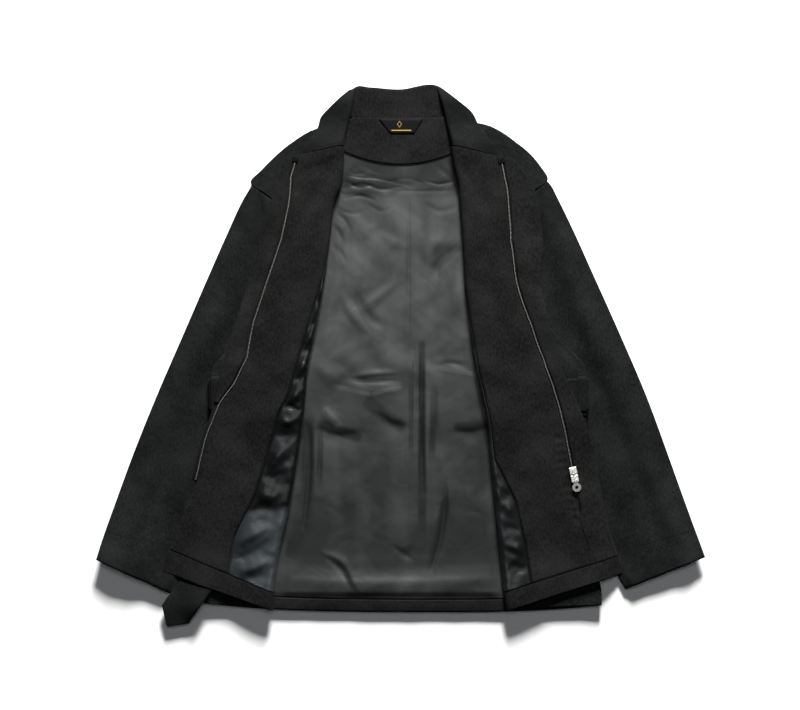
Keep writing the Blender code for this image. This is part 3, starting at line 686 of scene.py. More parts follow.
@dataclass(frozen=True)
class Cloth:
    """A panel as it is laid: its middle surface, its own coordinates, and what it stands for."""

    name: str
    grid: Array
    wall: float
    node: str
    slot: str
    rests_on: tuple[str, ...]

    def cut(self) -> tuple[float, float, float]:
        """Give the panel's width, length and area flat."""
        area = math.floor(grid_area(self.grid) * 1e5) / 1e5
        width = max(lengths_along(row)[-1] for row in self.grid)
        length = max(lengths_along(self.grid[:, self.grid.shape[1] // 2])[-1], area / width)
        return math.ceil(width * 1000) / 1000, math.ceil(length * 1000) / 1000, area

    def build(self, material: Material, creased_grid: Array | None = None) -> bpy.types.Object:
        """Args:
            material: Its finish.
            creased_grid: The middle surface with its creases, if it has any.

        Returns:
            The finished piece.
        """
        grid = self.grid if creased_grid is None else creased_grid
        rows, columns = grid.shape[:2]
        index = np.arange(rows * columns).reshape(rows, columns)
        quads = np.stack([index[:-1, :-1], index[1:, :-1], index[1:, 1:], index[:-1, 1:]], -1).reshape(-1, 4)
        across = self.grid[rows // 2, :, :]
        along = self.grid[:, columns // 2, :]
        u = np.broadcast_to(lengths_along(across)[None, :], (rows, columns))
        v = np.broadcast_to(lengths_along(along)[:, None], (rows, columns))
        uv = np.stack([u, v], -1).reshape(-1, 2)
        mesh = bpy.data.meshes.new(self.name)
        mesh.from_pydata(grid.reshape(-1, 3).tolist(), [], quads.tolist())
        layer = mesh.uv_layers.new(name="cloth")
        corners = np.empty(len(mesh.loops), int)
        mesh.loops.foreach_get("vertex_index", corners)
        layer.data.foreach_set("uv", uv[corners].ravel())
        form = bmesh.new()
        form.from_mesh(mesh)
        top = max(form.faces, key=lambda face: face.calc_center_median().z)
        if top.normal.z < 0:
            bmesh.ops.reverse_faces(form, faces=form.faces[:])
        form.to_mesh(mesh)
        form.free()
        made = finish_mesh(self.name, mesh, material)
        shell = made.modifiers.new("Wall", "SOLIDIFY")
        shell.thickness = self.wall
        shell.offset = 0.0
        bpy.ops.object.modifier_apply(modifier=shell.name)
        width, length, area = self.cut()
        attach(made, "jacket")
        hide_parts(self.node)
        list(self.rests_on)
        LOG.info("%s: cut %.0f by %.0f mm", self.name, width * 1000, length * 1000)
        return made


# Shape of a bead: how far along its half length each ring of corners lies, and its share of the width
BEAD_RINGS = ((-1, 0.35), (-0.72, 1.0), (0.72, 1.0), (1, 0.35))
BEAD_CORNER = 1.2


def lozenges(name: str, points: Array, ways: Array, size: Vector3,
             material: Material) -> bpy.types.Object:
    """Make one mesh of many small eight-sided beads, as stitches or zip teeth.

    Args:
        name: The piece's name.
        points: Middle of each bead.
        ways: Direction of each bead's length.
        size: Length, width and height of a bead.
        material: Its finish.

    Returns:
        The piece, not yet riding on anything.
    """
    ways = ways / np.linalg.norm(ways, axis=1, keepdims=True)
    up = np.array([0.0, 0.0, 1.0])
    across = np.cross(up, ways)
    across /= np.linalg.norm(across, axis=1, keepdims=True)
    over = np.cross(ways, across)
    half = np.array(size) / 2
    corners = []
    for along, scale in BEAD_RINGS:
        for turn in range(4):
            angle = math.pi / 4 + turn * math.pi / 2
            wide, high = (way(angle) * BEAD_CORNER * scale for way in (math.cos, math.sin))
            corners.append(points + ways * half[0] * along + across * half[1] * wide + over * half[2] * high)
    vertices = np.stack(corners, 1).reshape(-1, 3)
    faces = [(0, 1, 2, 3), (15, 14, 13, 12)]
    for ring in range(3):
        for turn in range(4):
            a, b = ring * 4 + turn, ring * 4 + (turn + 1) % 4
            faces.append((b, a, a + 4, b + 4))
    block = np.array(faces)
    quads = (block[None] + 16 * np.arange(len(points))[:, None, None]).reshape(-1, 4)
    mesh = bpy.data.meshes.new(name)
    mesh.from_pydata(vertices.tolist(), [], quads.tolist())
    form = bmesh.new()
    form.from_mesh(mesh)
    bmesh.ops.recalc_face_normals(form, faces=form.faces[:])
    form.to_mesh(mesh)
    form.free()
    return finish_mesh(name, mesh, material)


def spaced(line: Array, pitch: float) -> tuple[Array, Array]:
    """Places along a line at an even pitch, and the line's direction at each."""
    travelled = lengths_along(line)
    places = np.arange(pitch / 2, travelled[-1], pitch)
    points = np.stack([np.interp(places, travelled, line[:, axis]) for axis in range(3)], 1)
    ahead = np.stack([np.interp(places + pitch / 4, travelled, line[:, axis]) for axis in range(3)], 1)
    behind = np.stack([np.interp(places - pitch / 4, travelled, line[:, axis]) for axis in range(3)], 1)
    return points, ahead - behind


def stitch(name: str, line: Array, rise: float, material: Material,
           pitch: float = 3.2 * MM, width: float = 0.8 * MM) -> bpy.types.Object:
    """Sew a row of lockstitches along a line on a cloth's middle surface.

    Args:
        name: The piece's name.
        line: Points of the seam.
        rise: Height of the thread above those points.
        material: The thread.
        pitch: Length of a stitch with its gap.
        width: How far a stitch reaches across the seam.

    Returns:
        The piece.
    """
    points, ways = spaced(line, pitch)
    points = points + np.array([0.0, 0.0, rise])
    made = lozenges(name, points, ways, (pitch * 0.80, width, 0.4 * MM), material)
    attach(made, "jacket")
    return made


@dataclass
class Finishes:
    """The jacket's materials, made once."""

    outer: Material = field(default_factory=OUTER.material)
    inner: Material = field(default_factory=INNER.material)
    # The darker twill with painted shade, for the collar's ends, the belt's ends and the loops
    collar: Material = field(default_factory=COLLAR_CLOTH.material)
    lining: Material = field(default_factory=LINING.material)
    # The fronts' satin: painted light on the left, painted shade on the right
    lining_left: Material = field(default_factory=LEFT_LINING.material)
    lining_right: Material = field(default_factory=RIGHT_LINING.material)
    nickel: Material = field(default_factory=NICKEL.material)
    teeth: Material = field(default_factory=TEETH.material)
    thread: Material = field(default_factory=THREAD.material)
    tack: Material = field(default_factory=TACK.material)
    tape: Material = field(default_factory=TAPE.material)
    label: Material = field(default_factory=LABEL_GROUND.material)
    gold: Material = field(default_factory=LABEL_GOLD.material)


# ---- The layers' shared movement: it lifts or presses all that lies at a place, so their order holds ----

STACK_HEIGHT = 12 * MM


@dataclass
class Swell:
    """Puffs and hollows that the whole stack of a front shares."""

    creases: tuple[Crease, ...] = ()
    ripple_height: float = 0.7 * MM
    ripple_pitch: float = 55 * MM
    limits: Point = (-7 * MM, 9 * MM)

    def apply(self, grid: Array) -> Array:
        """Move points up or down by the creases at their place, less the nearer they lie to the table."""
        plan = grid[..., :2]
        depth = smooth(grid[..., 2] / STACK_HEIGHT)
        lift = creased(plan, self.creases) + self.ripple_height * ripple(plan, self.ripple_pitch, 1.3)
        moved = grid.copy()
        moved[..., 2] += np.clip(lift, *self.limits) * depth
        return moved


# ---- A cloth that turns back on itself ----


@dataclass
class Turned:
    """Sections of a cloth that folds back on itself, measured from the outermost point of the fold.

    Negative places run along the lower leg, positive ones along the upper leg.
    """

    side: Array
    fold: Array
    edge: Array
    low: Callable[[Array], Array]
    high: Callable[[Array, Array], Array]
    roll_out: float = 5 * MM
    quarter: float = 8 * MM

    def __post_init__(self) -> None:
        """Work out the fold's middle, its outward direction and the two legs."""
        self.out = unit(unit(self.fold - self.side) + unit(self.fold - self.edge))
        self.centre = self.fold - self.out * self.roll_out
        self.legs = (self.side - self.centre, self.edge - self.centre)

    def reach(self, leg: int) -> Array:
        """Place of the end of a leg, 0 for the lower and 1 for the upper one, at each level."""
        return self.quarter + np.linalg.norm(self.legs[leg], axis=1)

    def surface(self, pick: Array, places: Array, out_by: float | Array) -> Array:
        """Points of the sections at some levels.

        Args:
            pick: Which levels, by index.
            places: Places for each of those levels, in rows.
            out_by: Distance outwards from the middle of the outer cloth.

        Returns:
            A grid of points.
        """
        centre, out = self.centre[pick], self.out[pick]
        lower_way, upper_way = (unit(leg[pick]) for leg in self.legs)
        along = np.maximum(np.abs(places) - self.quarter, 0.0)
        angle = np.clip(places / self.quarter, -1, 1) * math.pi / 2
        bulge = (self.roll_out + out_by) * np.cos(angle)
        plan_low = centre[:, None] + lower_way[:, None] * along[..., None]
        plan_high = centre[:, None] + upper_way[:, None] * along[..., None]
        low = self.low(plan_low) - out_by
        high = self.high(plan_high, along) + out_by
        on_roll = (np.abs(places) <= self.quarter)[..., None]
        plan = np.where((places < 0)[..., None], plan_low, plan_high)
        plan = np.where(on_roll, centre[:, None] + out[:, None] * bulge[..., None], plan)
        turn = (1 + np.sin(angle)) / 2
        return at_height(plan, low * (1 - turn) + high * turn)

    def panel(self, pick: Array, start: Array, end: Array, out_by: float | Array,
              step: float = CLOTH_STEP) -> Array:
        """Grid of a layer between two places on the sections of some levels.

        Args:
            pick: Which levels, by index.
            start: First place at each level, or one for all.
            end: Last place likewise.
            out_by: Distance outwards from the middle of the outer cloth.
            step: About how far apart the columns lie on the legs.

        Returns:
            The grid.
        """
        every = self.fold.shape[:1]
        start, end = np.broadcast_to(start, every)[pick], np.broadcast_to(end, every)[pick]
        first, last = self.steps_to(start, step), self.steps_to(end, step)
        share = np.linspace(0, 1, max(int(float((last - first).max())), 3) + 1)
        places = self.place_at(first[:, None] + (last - first)[:, None] * share, step)
        return self.surface(pick, places, out_by)

    def steps_to(self, place: Array, step: float) -> Array:
        """Columns between the outermost point of the fold and a place, closer together on the fold."""
        on_roll = np.clip(place, -self.quarter, self.quarter)
        return on_roll / ROLL_STEP + (place - on_roll) / step

    def place_at(self, steps: Array, step: float) -> Array:
        """Place that lies a number of columns from the outermost point of the fold."""
        rolled = self.quarter / ROLL_STEP
        on_roll = np.clip(steps, -rolled, rolled)
        return on_roll * ROLL_STEP + (steps - on_roll) * step


# ---- Fronts ----


@dataclass
class Front:
    """A front that is turned back on itself, with its lining, facing, hem and fly strip.

    The gap that its zip shows through is wider by `notch` near the neck, and closes past the zip's
    end; `notch_end`, `close_from` and `close_by` are levels of the cut.
    """

    cut: FrontCut
    swell: Swell
    satin_creases: tuple[Crease, ...] = ()
    cloth_wall: float = 1.5 * MM
    satin_wall: float = 1.0 * MM
    lining_out: float = 2.2 * MM
    facing_out: float = 2.45 * MM
    seam: float = 0.5 * MM
    chain_clear: float = 3.0 * MM
    notch: float = 2.6 * MM
    notch_end: float = 0.30
    close_from: float = 12.5
    close_by: float = 0.3
    inset: float = 2.2 * MM
    puff_limits: Point = (-1.2 * MM, 8 * MM)

    def __post_init__(self) -> None:
        """Work out the section at evenly spread levels."""
        exact = [self.cut.zip_end, self.cut.strip_end, self.cut.hem, self.cut.hem + 0.03]
        self.levels = np.unique(np.concatenate([np.linspace(0, len(self.cut.levels) - 1, 250), exact]))
        rows = curve(self.cut.levels, self.levels)
        self.turned = Turned(rows[:, 0:2], rows[:, 2:4], rows[:, 4:6],
                             lambda plan: LAYERS.body(plan) + LAYERS.front_lower, LAYERS.upper)
        table, whole = self.cut.levels, np.arange(len(self.cut.levels))
        self.strip = np.interp(self.levels, whole, table[:, 6])
        notch = self.notch * (1 - smooth(self.levels / self.notch_end))
        closed = smooth((self.levels - self.close_from) / self.close_by)
        self.clear = (self.chain_clear + notch) * (1 - 1.5 * closed)
        self.lining = np.interp(self.levels, whole, table[:, 7])

    @property
    def tag(self) -> str:
        """Name of the side, as it stands in names of pieces."""
        return self.cut.side.value

    def between(self, first: float, last: float) -> Array:
        """Indices of the levels from one to another."""
        return np.flatnonzero((self.levels >= first - 1e-6) & (self.levels <= last + 1e-6))

    def facing_end(self) -> Array:
        """Place where the facing ends at each level."""
        edge = self.turned.reach(1)
        return np.where(self.strip > 1 * MM, edge - self.strip - self.clear, edge)

    def build(self, finishes: Finishes) -> None:
        """Lay all of the front's cloths."""
        edge, low = self.turned.reach(1), -self.turned.reach(0)
        hem, wall, tag = float(self.cut.hem), self.cloth_wall, self.tag
        panel, swell = self.turned.panel, self.swell.apply
        layers = (
            ("outer_cloth", "front", "twill", wall, finishes.outer, "front_lining",
             panel(self.between(0, 15), low, edge, 0.0)),
            ("lining", "front_lining", "satin_lining", self.satin_wall,
             finishes.lining_left if tag == "left" else finishes.lining_right, "front",
             panel(self.between(0, hem), low, self.lining - self.seam, self.lining_out)),
            ("facing", "front_facing", "twill_inside", wall, finishes.inner, "front",
             panel(self.between(0, hem), self.lining + self.seam, self.facing_end(), self.facing_out)),
            ("turned_hem", "front_hem", "twill_inside", wall, finishes.inner, "front",
             panel(self.between(hem + 0.03, 15), 0.0, edge, self.facing_out)),
            ("fly", "fly_strip", "twill_inside", wall, finishes.inner, "front",
             panel(self.between(0, self.cut.strip_end), edge - self.strip + self.clear, edge,
                   self.facing_out)),
        )
        for part, node, slot, thick, material, under, grid in layers:
            cloth = Cloth(f"{part}_{tag}", grid, thick, f"{node}_{tag}", slot, (f"{under}_{tag}",))
            laid = swell(grid)
            if part == "lining":
                laid[..., 2] += self.puff(grid)
            cloth.build(material, laid)

    def sew(self, finishes: Finishes) -> None:
        """Topstitch the facing along the lining and the zip, the fly strip, and the turned hem."""
        tag, rise = self.tag, self.cloth_wall / 2
        inset, edge = self.inset, self.turned.reach(1)
        down = (
            ("lining_seam", self.between(0, self.cut.hem), self.lining + self.seam + inset),
            ("zip_inner", self.between(0, self.cut.zip_end), self.facing_end() - inset),
            ("zip_outer", self.between(0, self.cut.strip_end - 0.2), edge - self.strip + self.clear + inset),
        )
        for name, pick, places in down:
            line = self.turned.surface(pick, places[pick][:, None], self.facing_out)
            stitch(f"stitches_{name}_{tag}", self.swell.apply(line)[:, 0], rise, finishes.thread)
        pick = self.between(self.cut.hem, self.cut.hem)[-1:]
        places = np.linspace(self.turned.quarter, float(edge[pick][0]) - 3 * MM, 60)[None, :]
        line = self.swell.apply(self.turned.surface(pick, places, self.facing_out))[0]
        stitch(f"stitches_hem_{tag}", line + np.array([0.0, 2.5 * MM, 0.0]), rise, finishes.thread)

    def puff(self, grid: Array) -> Array:
        """Height of the loose lining's puffs on the turned-back leg, none at its seam with the facing."""
        plan = grid[..., :2]
        turned = smooth((grid[..., 2] - LAYERS.body(plan) - 9 * MM) / (7 * MM))
        seam = smooth(np.arange(grid.shape[1])[::-1] * CLOTH_STEP / (14 * MM))
        lift = 1.2 * MM + 1.5 * creased(plan, self.satin_creases) + 0.9 * MM * ripple(plan, 0.020, 0.9)
        return np.clip(lift * turned * seam[None, :], *self.puff_limits)


# ---- Back, collar, sleeves and belt ----


@dataclass
class Back:
    """Back panel with its satin lining, turned-up hem, neck facing and woven label."""

    swell: Swell
    creases: tuple[Crease, ...]
    neck_y: float = 0.369
    neck_left: float = -0.078
    neck_right: float = 0.064
    facing_half: float = 0.095
    facing_low: float = 0.298
    facing_rise: float = 0.020
    facing_reach: float = 0.087
    wall: float = 1.5 * MM
    puff_limits: Point = (-0.3 * MM, 9.5 * MM)
    puff_rise: float = 3.4 * MM
    open_share: Point = (0.20, 0.80)
    hem_seam_y: float = -0.3735
    satin_rows: int = 255
    satin_columns: tuple[int, int] = (14, 146)
    hem_depth: float = 20 * MM
    hem_bow: float = 12.5 * MM
    seam: float = 0.5 * MM

    def __post_init__(self) -> None:
        """Work out both side seams from the neck to the hem."""
        neck = [(self.neck_left, self.neck_y, self.neck_right, self.neck_y)]
        left, right = LEFT_CUT.levels[:, :2], RIGHT_CUT.levels[:, :2]
        self.rows = np.vstack([neck, np.hstack([left, right])])

    def facing_edge(self, x: Array) -> Array:
        """Lower edge of the neck facing, a shallow curve."""
        return self.facing_low + self.facing_rise * (x / self.facing_reach) ** 2

    def plan(self, first: float, last: float, rows: int, columns: int, dense: int = 0) -> Array:
        """Points in plan from one level of the side seams to another.

        Args:
            first: First level, the neck seam being level -1.
            last: Last level.
            rows: Rows of points.
            columns: Evenly spread columns.
            dense: More columns over the middle, where the jacket is open.

        Returns:
            The grid of points.
        """
        sides = curve(self.rows, np.linspace(first, last, rows) + 1)
        middle = np.linspace(*self.open_share, dense)
        shares = np.unique(np.concatenate([np.linspace(0, 1, columns), middle]))
        share = shares[None, :, None]
        plan = sides[:, None, :2] * (1 - share) + sides[:, None, 2:] * share
        low = smooth((np.linspace(first, last, rows) - 12) / 3)[:, None]
        plan[..., 1] -= self.hem_bow * low * (1 - np.abs(2 * shares - 1)[None, :] ** 3)
        return plan

    def raised(self, plan: Array, middle: float, creases: bool = False) -> Array:
        """Set a layer's height over points in plan, with the lining's creases if asked."""
        height = LAYERS.body(plan) + middle
        grid = self.swell.apply(at_height(plan, height))
        if creases:
            grid[..., 2] += self.puff(plan)
        return grid

    def puff(self, plan: Array) -> Array:
        """Height of the loose lining over its seams: soft puffs, less its troughs, flat under the fronts."""
        y = plan[..., 1]
        left, right = LEFT_CUT.levels[::-1], RIGHT_CUT.levels[::-1]
        left_fold = np.interp(y, left[:, 3], left[:, 2])
        right_fold = np.interp(y, right[:, 3], right[:, 2])
        inside = np.minimum(plan[..., 0] - left_fold, right_fold - plan[..., 0])
        mask = smooth((inside + 4 * MM) / (30 * MM))
        under_facing = smooth((self.facing_edge(plan[..., 0]) - y) / 0.050)
        ends = smooth((y - self.hem_seam_y) / 0.012) * under_facing
        loose = smooth((y + 0.10) / 0.10)
        broad, fine = ripple(plan, 0.085, 0.6), ripple(plan, 0.034, 2.1)
        waves = (0.35 + 1.6 * loose) * MM * broad + 0.35 * loose * MM * fine
        lift = self.puff_rise + 0.85 * creased(plan, self.creases) + waves
        return np.clip(lift * mask * ends, *self.puff_limits)

    def build(self, finishes: Finishes) -> None:
        """Lay the back's cloths."""
        outer = self.raised(self.plan(-1, 15, 190, 70), LAYERS.back)
        Cloth("back_panel", outer, self.wall, "back", "twill",
              ("sleeve_top_left", "sleeve_top_right", "belt_back")).build(finishes.outer)
        self.build_lining(finishes)
        hem = self.plan(15, 15, 7, 120)
        hem[..., 1] += np.linspace(self.hem_depth - 2 * self.seam, 0, 7)[:, None]
        Cloth("back_turned_hem", self.raised(hem, LAYERS.back_hem), self.wall, "back_hem", "twill_inside",
              ("back",)).build(finishes.inner)
        x = np.linspace(-self.facing_half, self.facing_half, 60)[None, :]
        top = np.minimum(self.neck_y, self.neck_y - (np.abs(x) - 0.072) * 0.6) + 3 * MM
        share = np.linspace(0, 1, 22)[:, None]
        y = top + (self.facing_edge(x) - top) * share
        facing = np.stack([np.broadcast_to(x, y.shape), y], -1)
        Cloth("neck_facing", self.raised(facing, LAYERS.neck_facing), self.wall, "back_neck_facing",
              "twill_inside", ("back_lining",)).build(finishes.inner)
        self.build_label(finishes)

    def build_lining(self, finishes: Finishes) -> None:
        """Lay the satin lining, clipped under the neck facing's edge and above the turned hem."""
        top = self.plan(1, 1, 1, *self.satin_columns)[0]
        top[:, 1] = np.minimum(top[:, 1], self.facing_edge(top[:, 0]) + 6 * MM)
        rest = self.plan(2, 13.9, self.satin_rows, *self.satin_columns)
        rest[:, :, 1] = np.minimum(rest[:, :, 1], (top[:, 1] - 1 * MM)[None, :])
        last = self.plan(15, 15, 1, *self.satin_columns)[0] + np.array([0.0, self.hem_depth])
        share = np.linspace(0, 1, 12)[1:-1, None, None]
        first = top[None] * (1 - share) + rest[:1] * share
        end = rest[-1:] * (1 - share) + last[None] * share
        plan = np.concatenate([top[None], first, rest, end, last[None]])
        Cloth("back_satin", self.raised(plan, LAYERS.lining), 1.0 * MM, "back_lining", "satin_lining",
              ("back",)).build(finishes.lining, self.raised(plan, LAYERS.lining, True))

    def sew(self, finishes: Finishes) -> None:
        """Topstitch the neck seam, the facing's lower edge and the turned hem."""
        x = np.linspace(-0.074, 0.062, 60)
        rows = {"neck": np.stack([x, np.full(60, self.neck_y + 2.6 * MM)], -1)}
        x = np.linspace(-0.088, 0.086, 60)
        rows["neck_facing"] = np.stack([x, self.facing_edge(x) + 2.2 * MM], -1)
        for name, plan in rows.items():
            stitch(f"stitches_{name}", self.raised(plan, LAYERS.neck_facing), self.wall / 2,
                   finishes.thread, width=1.3 * MM)
        hem = self.plan(15, 15, 1, 120)[0] + np.array([0.0, self.hem_depth - 3 * MM])
        stitch("stitches_back_hem", self.raised(hem, LAYERS.back_hem), self.wall / 2,
               finishes.thread)

    def build_label(self, finishes: Finishes) -> None:
        """Lay the woven label under the neck seam, with mitred ends."""
        share = np.linspace(0, 1, 9)[:, None]
        across = np.linspace(0, 1, 25)[None, :]
        x = (-0.033 + 0.018 * share) * (1 - across) + (0.035 - 0.014 * share) * across
        y = np.broadcast_to(0.3685 - 0.0225 * share, x.shape)
        grid = self.raised(np.stack([x, y], -1), LAYERS.label)
        Cloth("woven_label", grid, 0.8 * MM, "neck_label", "label_weave", ("back_neck_facing",)
              ).build(finishes.label)
        x, y = 0.0015 + np.linspace(-15, 15, 44) * MM, np.full(44, 0.3510)
        bar = self.raised(np.stack([x, y], -1), LAYERS.label_motif)
        corners = np.array([(0.0, 4.6), (3.2, 0.0), (0.0, -4.6), (-3.2, 0.0), (0.0, 4.6)]) * MM
        outline, ways = spaced(self.raised(corners + (-0.0015, 0.3605), LAYERS.label_motif), 0.7 * MM)
        ways = np.vstack([np.tile((0, 1, 0), (len(bar), 1)), ways])
        motif = lozenges("label_motif", np.vstack([bar, outline]), ways, (1.5 * MM, 0.8 * MM, 0.3 * MM),
                         finishes.gold)
        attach(motif, "jacket")


# Collar: its middle lies flat behind the neck (seam x, y; edge x, y), and its two ends are turned
# back with the fronts (side x, y; fold x, y; edge x, y)
COLLAR_BACK = millimetres(
    (-114, 358, -106, 379), (-78, 369.6, -72, 417), (-40, 369.5, -46, 418), (5, 369.5, 0, 415),
    (64, 369.6, 56, 421), (105, 361, 98, 383),
)
COLLAR_LEFT = millimetres(
    (-80, 410, -70, 417, -79, 413.5), (-96, 392, -73, 402, -98.5, 396.5),
    (-116, 371, -77, 380, -122, 372), (-121, 358, -82, 361, -128, 354), (-108, 341, -86, 344, -144, 331),
    (-101, 335, -88, 329.5, -158, 313.5), (-100.5, 332, -88.5, 326.2, -164, 311.9),
)
COLLAR_RIGHT = millimetres(
    (66.5, 411.5, 57, 419, 65.5, 415.5), (81, 396, 63, 401, 84, 400.5), (103, 378, 69, 378, 109.5, 379.5),
    (113, 361, 73, 359, 120.5, 360), (103, 345, 77, 344, 139, 334), (94, 338, 80, 330, 154, 310.5),
    (93.5, 334, 80.5, 326.2, 160, 308.5),
)


@dataclass
class Collar:
    """The short stand collar, of two cloths together."""

    swell: Swell
    wall: float = 2.2 * MM
    flat_middle: float = 1.1 * MM
    lower_middle: float = 5.6 * MM
    upper_middle: float = 12.3 * MM
    tip_y: float = 0.418

    def build(self, finishes: Finishes) -> None:
        """Lay the collar's back and its two turned ends."""
        rows = curve(COLLAR_BACK, 70)
        share = np.linspace(0, 1, 14)[:, None, None]
        plan = rows[None, :, :2] * (1 - share) + rows[None, :, 2:] * share
        rolled = 0.9 * MM * smooth((share[..., 0] - 0.2) / 0.5) * np.ones(plan.shape[:2])
        Cloth("collar_behind_neck", at_height(plan, self.flat_middle + rolled), self.wall, "collar_back",
              "twill_inside", ("floor",)).build(finishes.inner)
        for tag, table in (("left", COLLAR_LEFT), ("right", COLLAR_RIGHT)):
            rows = curve(table, 46)
            turned = Turned(rows[:, 0:2], rows[:, 2:4], rows[:, 4:6], self.lower, self.upper)
            pick = np.arange(len(rows))
            grid = turned.panel(pick, -turned.reach(0), turned.reach(1), 0.0, 2.5 * MM)
            Cloth(f"collar_turned_{tag}", grid, self.wall, f"collar_end_{tag}", "twill",
                  (f"front_{tag}",)).build(finishes.collar, self.swell.apply(grid))

    def lower(self, plan: Array) -> Array:
        """Middle of the lower leg, which thins out at the collar's tip."""
        return self.lower_middle * smooth(0.35 + (self.tip_y - plan[..., 1]) / 0.025)

    def upper(self, plan: Array, along: Array) -> Array:
        """Middle of the turned leg: low at the collar's tip, and level with the front at their seam."""
        tip = smooth(0.25 + (self.tip_y - plan[..., 1]) / 0.035)
        seam = smooth((0.365 - plan[..., 1]) / 0.040)
        roll = LAYERS.roll_rise * (1 - smooth(along / LAYERS.roll_reach))
        return self.upper_middle * tip + (roll + 3.2 * MM) * seam


@dataclass
class Sleeve:
    """A long two-piece sleeve laid flat, its top part slightly arched over the under part."""

    side: Side
    rows: Array
    swell: Swell
    creases: tuple[Crease, ...]
    wall: float = 1.4 * MM
    under_middle: float = 0.7 * MM
    top_middle: float = 2.5 * MM
    arch: float = 6.0 * MM
    arch_share: float = 0.42
    shoulder: float = 9.5 * MM
    shoulder_reach: float = 0.080
    cuff_seam: float = 52 * MM

    @property
    def cuff_start(self) -> float:
        """Level of the sleeve's table at which its end starts to curl."""
        return len(self.rows) - 2.9

    def lay(self, rows: int, columns: int) -> tuple[Array, Array, Array]:
        """Points in plan, their share of the way across from the outer edge, and their rows' levels."""
        edges = curve(self.rows, rows)
        share = np.linspace(0, 1, columns)
        plan = edges[:, None, :2] * (1 - share[None, :, None]) + edges[:, None, 2:] * share[None, :, None]
        down = np.linspace(0, len(self.rows) - 1, rows)[:, None]
        return plan, np.broadcast_to(share, plan.shape[:2]), down

    def build(self, finishes: Finishes) -> None:
        """Lay both parts of the sleeve."""
        tag = self.side.value
        plan, share, down = self.lay(165, 42)
        arch = self.arch * np.sin(math.pi * np.minimum(share / self.arch_share, 1)) ** 2
        arch = arch * smooth((down - 1.0) / 1.6) * (1 - 0.5 * smooth((down - self.cuff_start) / 1.9))
        height = self.top_middle + arch + self.lift(plan) + self.cuff_lift(down, share)
        top = at_height(plan, height)
        creased_top = top.copy()
        free = smooth((0.62 - share) / 0.30)
        creased_top[..., 2] += np.clip(creased(plan, self.creases) * free, -1.2 * MM, 6 * MM)
        laid = self.swell.apply(creased_top)
        Cloth(f"sleeve_upper_{tag}", top, self.wall, f"sleeve_top_{tag}", "twill", (f"sleeve_under_{tag}",)
              ).build(finishes.outer, laid)
        self.sew(finishes, plan, laid)
        plan, share, down = self.lay(90, 12)
        under = at_height(plan, self.under_middle + self.cuff_lift(down, share))
        Cloth(f"sleeve_lower_{tag}", under, self.wall, f"sleeve_under_{tag}", "twill", ("floor",)
              ).build(finishes.outer, self.swell.apply(under))

    def cuff_lift(self, down: Array, share: Array) -> Array:
        """Height that the sleeve's end curls up from the table, later and less beside the body."""
        curl, beside = CUFF_CURL[self.side]
        inner = smooth((share - 0.42) / 0.30)
        height = curl - (curl - beside) * inner - 7 * MM * smooth((share - 0.88) / 0.12)
        start = self.cuff_start + 1.1 * inner
        return height * smooth((down - start) / (len(self.rows) - 1 - start))

    def lift(self, plan: Array) -> Array:
        """Height that the top part gains towards the armhole seam, outside the body."""
        start, end = ARMHOLES[self.side]
        step = np.array(end) - np.array(start)
        away = plan - np.array(start)
        along = np.clip((away @ step) / step.dot(step), 0, 1)
        gap = np.linalg.norm(away - along[..., None] * step, axis=-1)
        turned = (step[0] * away[..., 1] - step[1] * away[..., 0]) * ARMHOLE_TURN[self.side]
        out = turned / np.linalg.norm(step)
        return self.shoulder * (1 - smooth(gap / self.shoulder_reach)) * smooth((out + 1.5 * MM) / (4 * MM))

    def sew(self, finishes: Finishes, plan: Array, laid: Array) -> None:
        """Stitch the turned-up end of the sleeve."""
        lengths = np.linalg.norm(np.diff(plan[::-1, 10], axis=0), axis=-1).cumsum()
        row = len(plan) - 1 - int(np.searchsorted(lengths, self.cuff_seam))
        stitch(f"stitches_cuff_{self.side.value}", laid[row, 1:-2], self.wall / 2, finishes.thread,
               width=1.6 * MM)


# The short visible run of each armhole seam, and the side of it that the sleeve lies on
ARMHOLES = {Side.LEFT: ((-0.232, 0.268), (-0.198, 0.243)), Side.RIGHT: ((0.228, 0.273), (0.200, 0.250))}
ARMHOLE_TURN = {Side.LEFT: -1, Side.RIGHT: 1}
# Height that a sleeve's end curls up from the table, on its outer edge and beside the body
CUFF_CURL = {Side.LEFT: (22 * MM, 14 * MM), Side.RIGHT: (15 * MM, 13 * MM)}

# Middle lines of the belt's two ends, from the side seam to where their points begin
BELT_LEFT = millimetres(
    (-285, -57.5), (-262, -60), (-240, -80), (-230, -118), (-231, -170), (-245, -229), (-272, -283),
    (-309, -341), (-342, -389), (-347.5, -397),
)
BELT_RIGHT = millimetres(
    (280, -57.5), (258, -60), (236, -80), (226, -118), (222, -170), (219, -229), (216, -283), (214, -310),
)


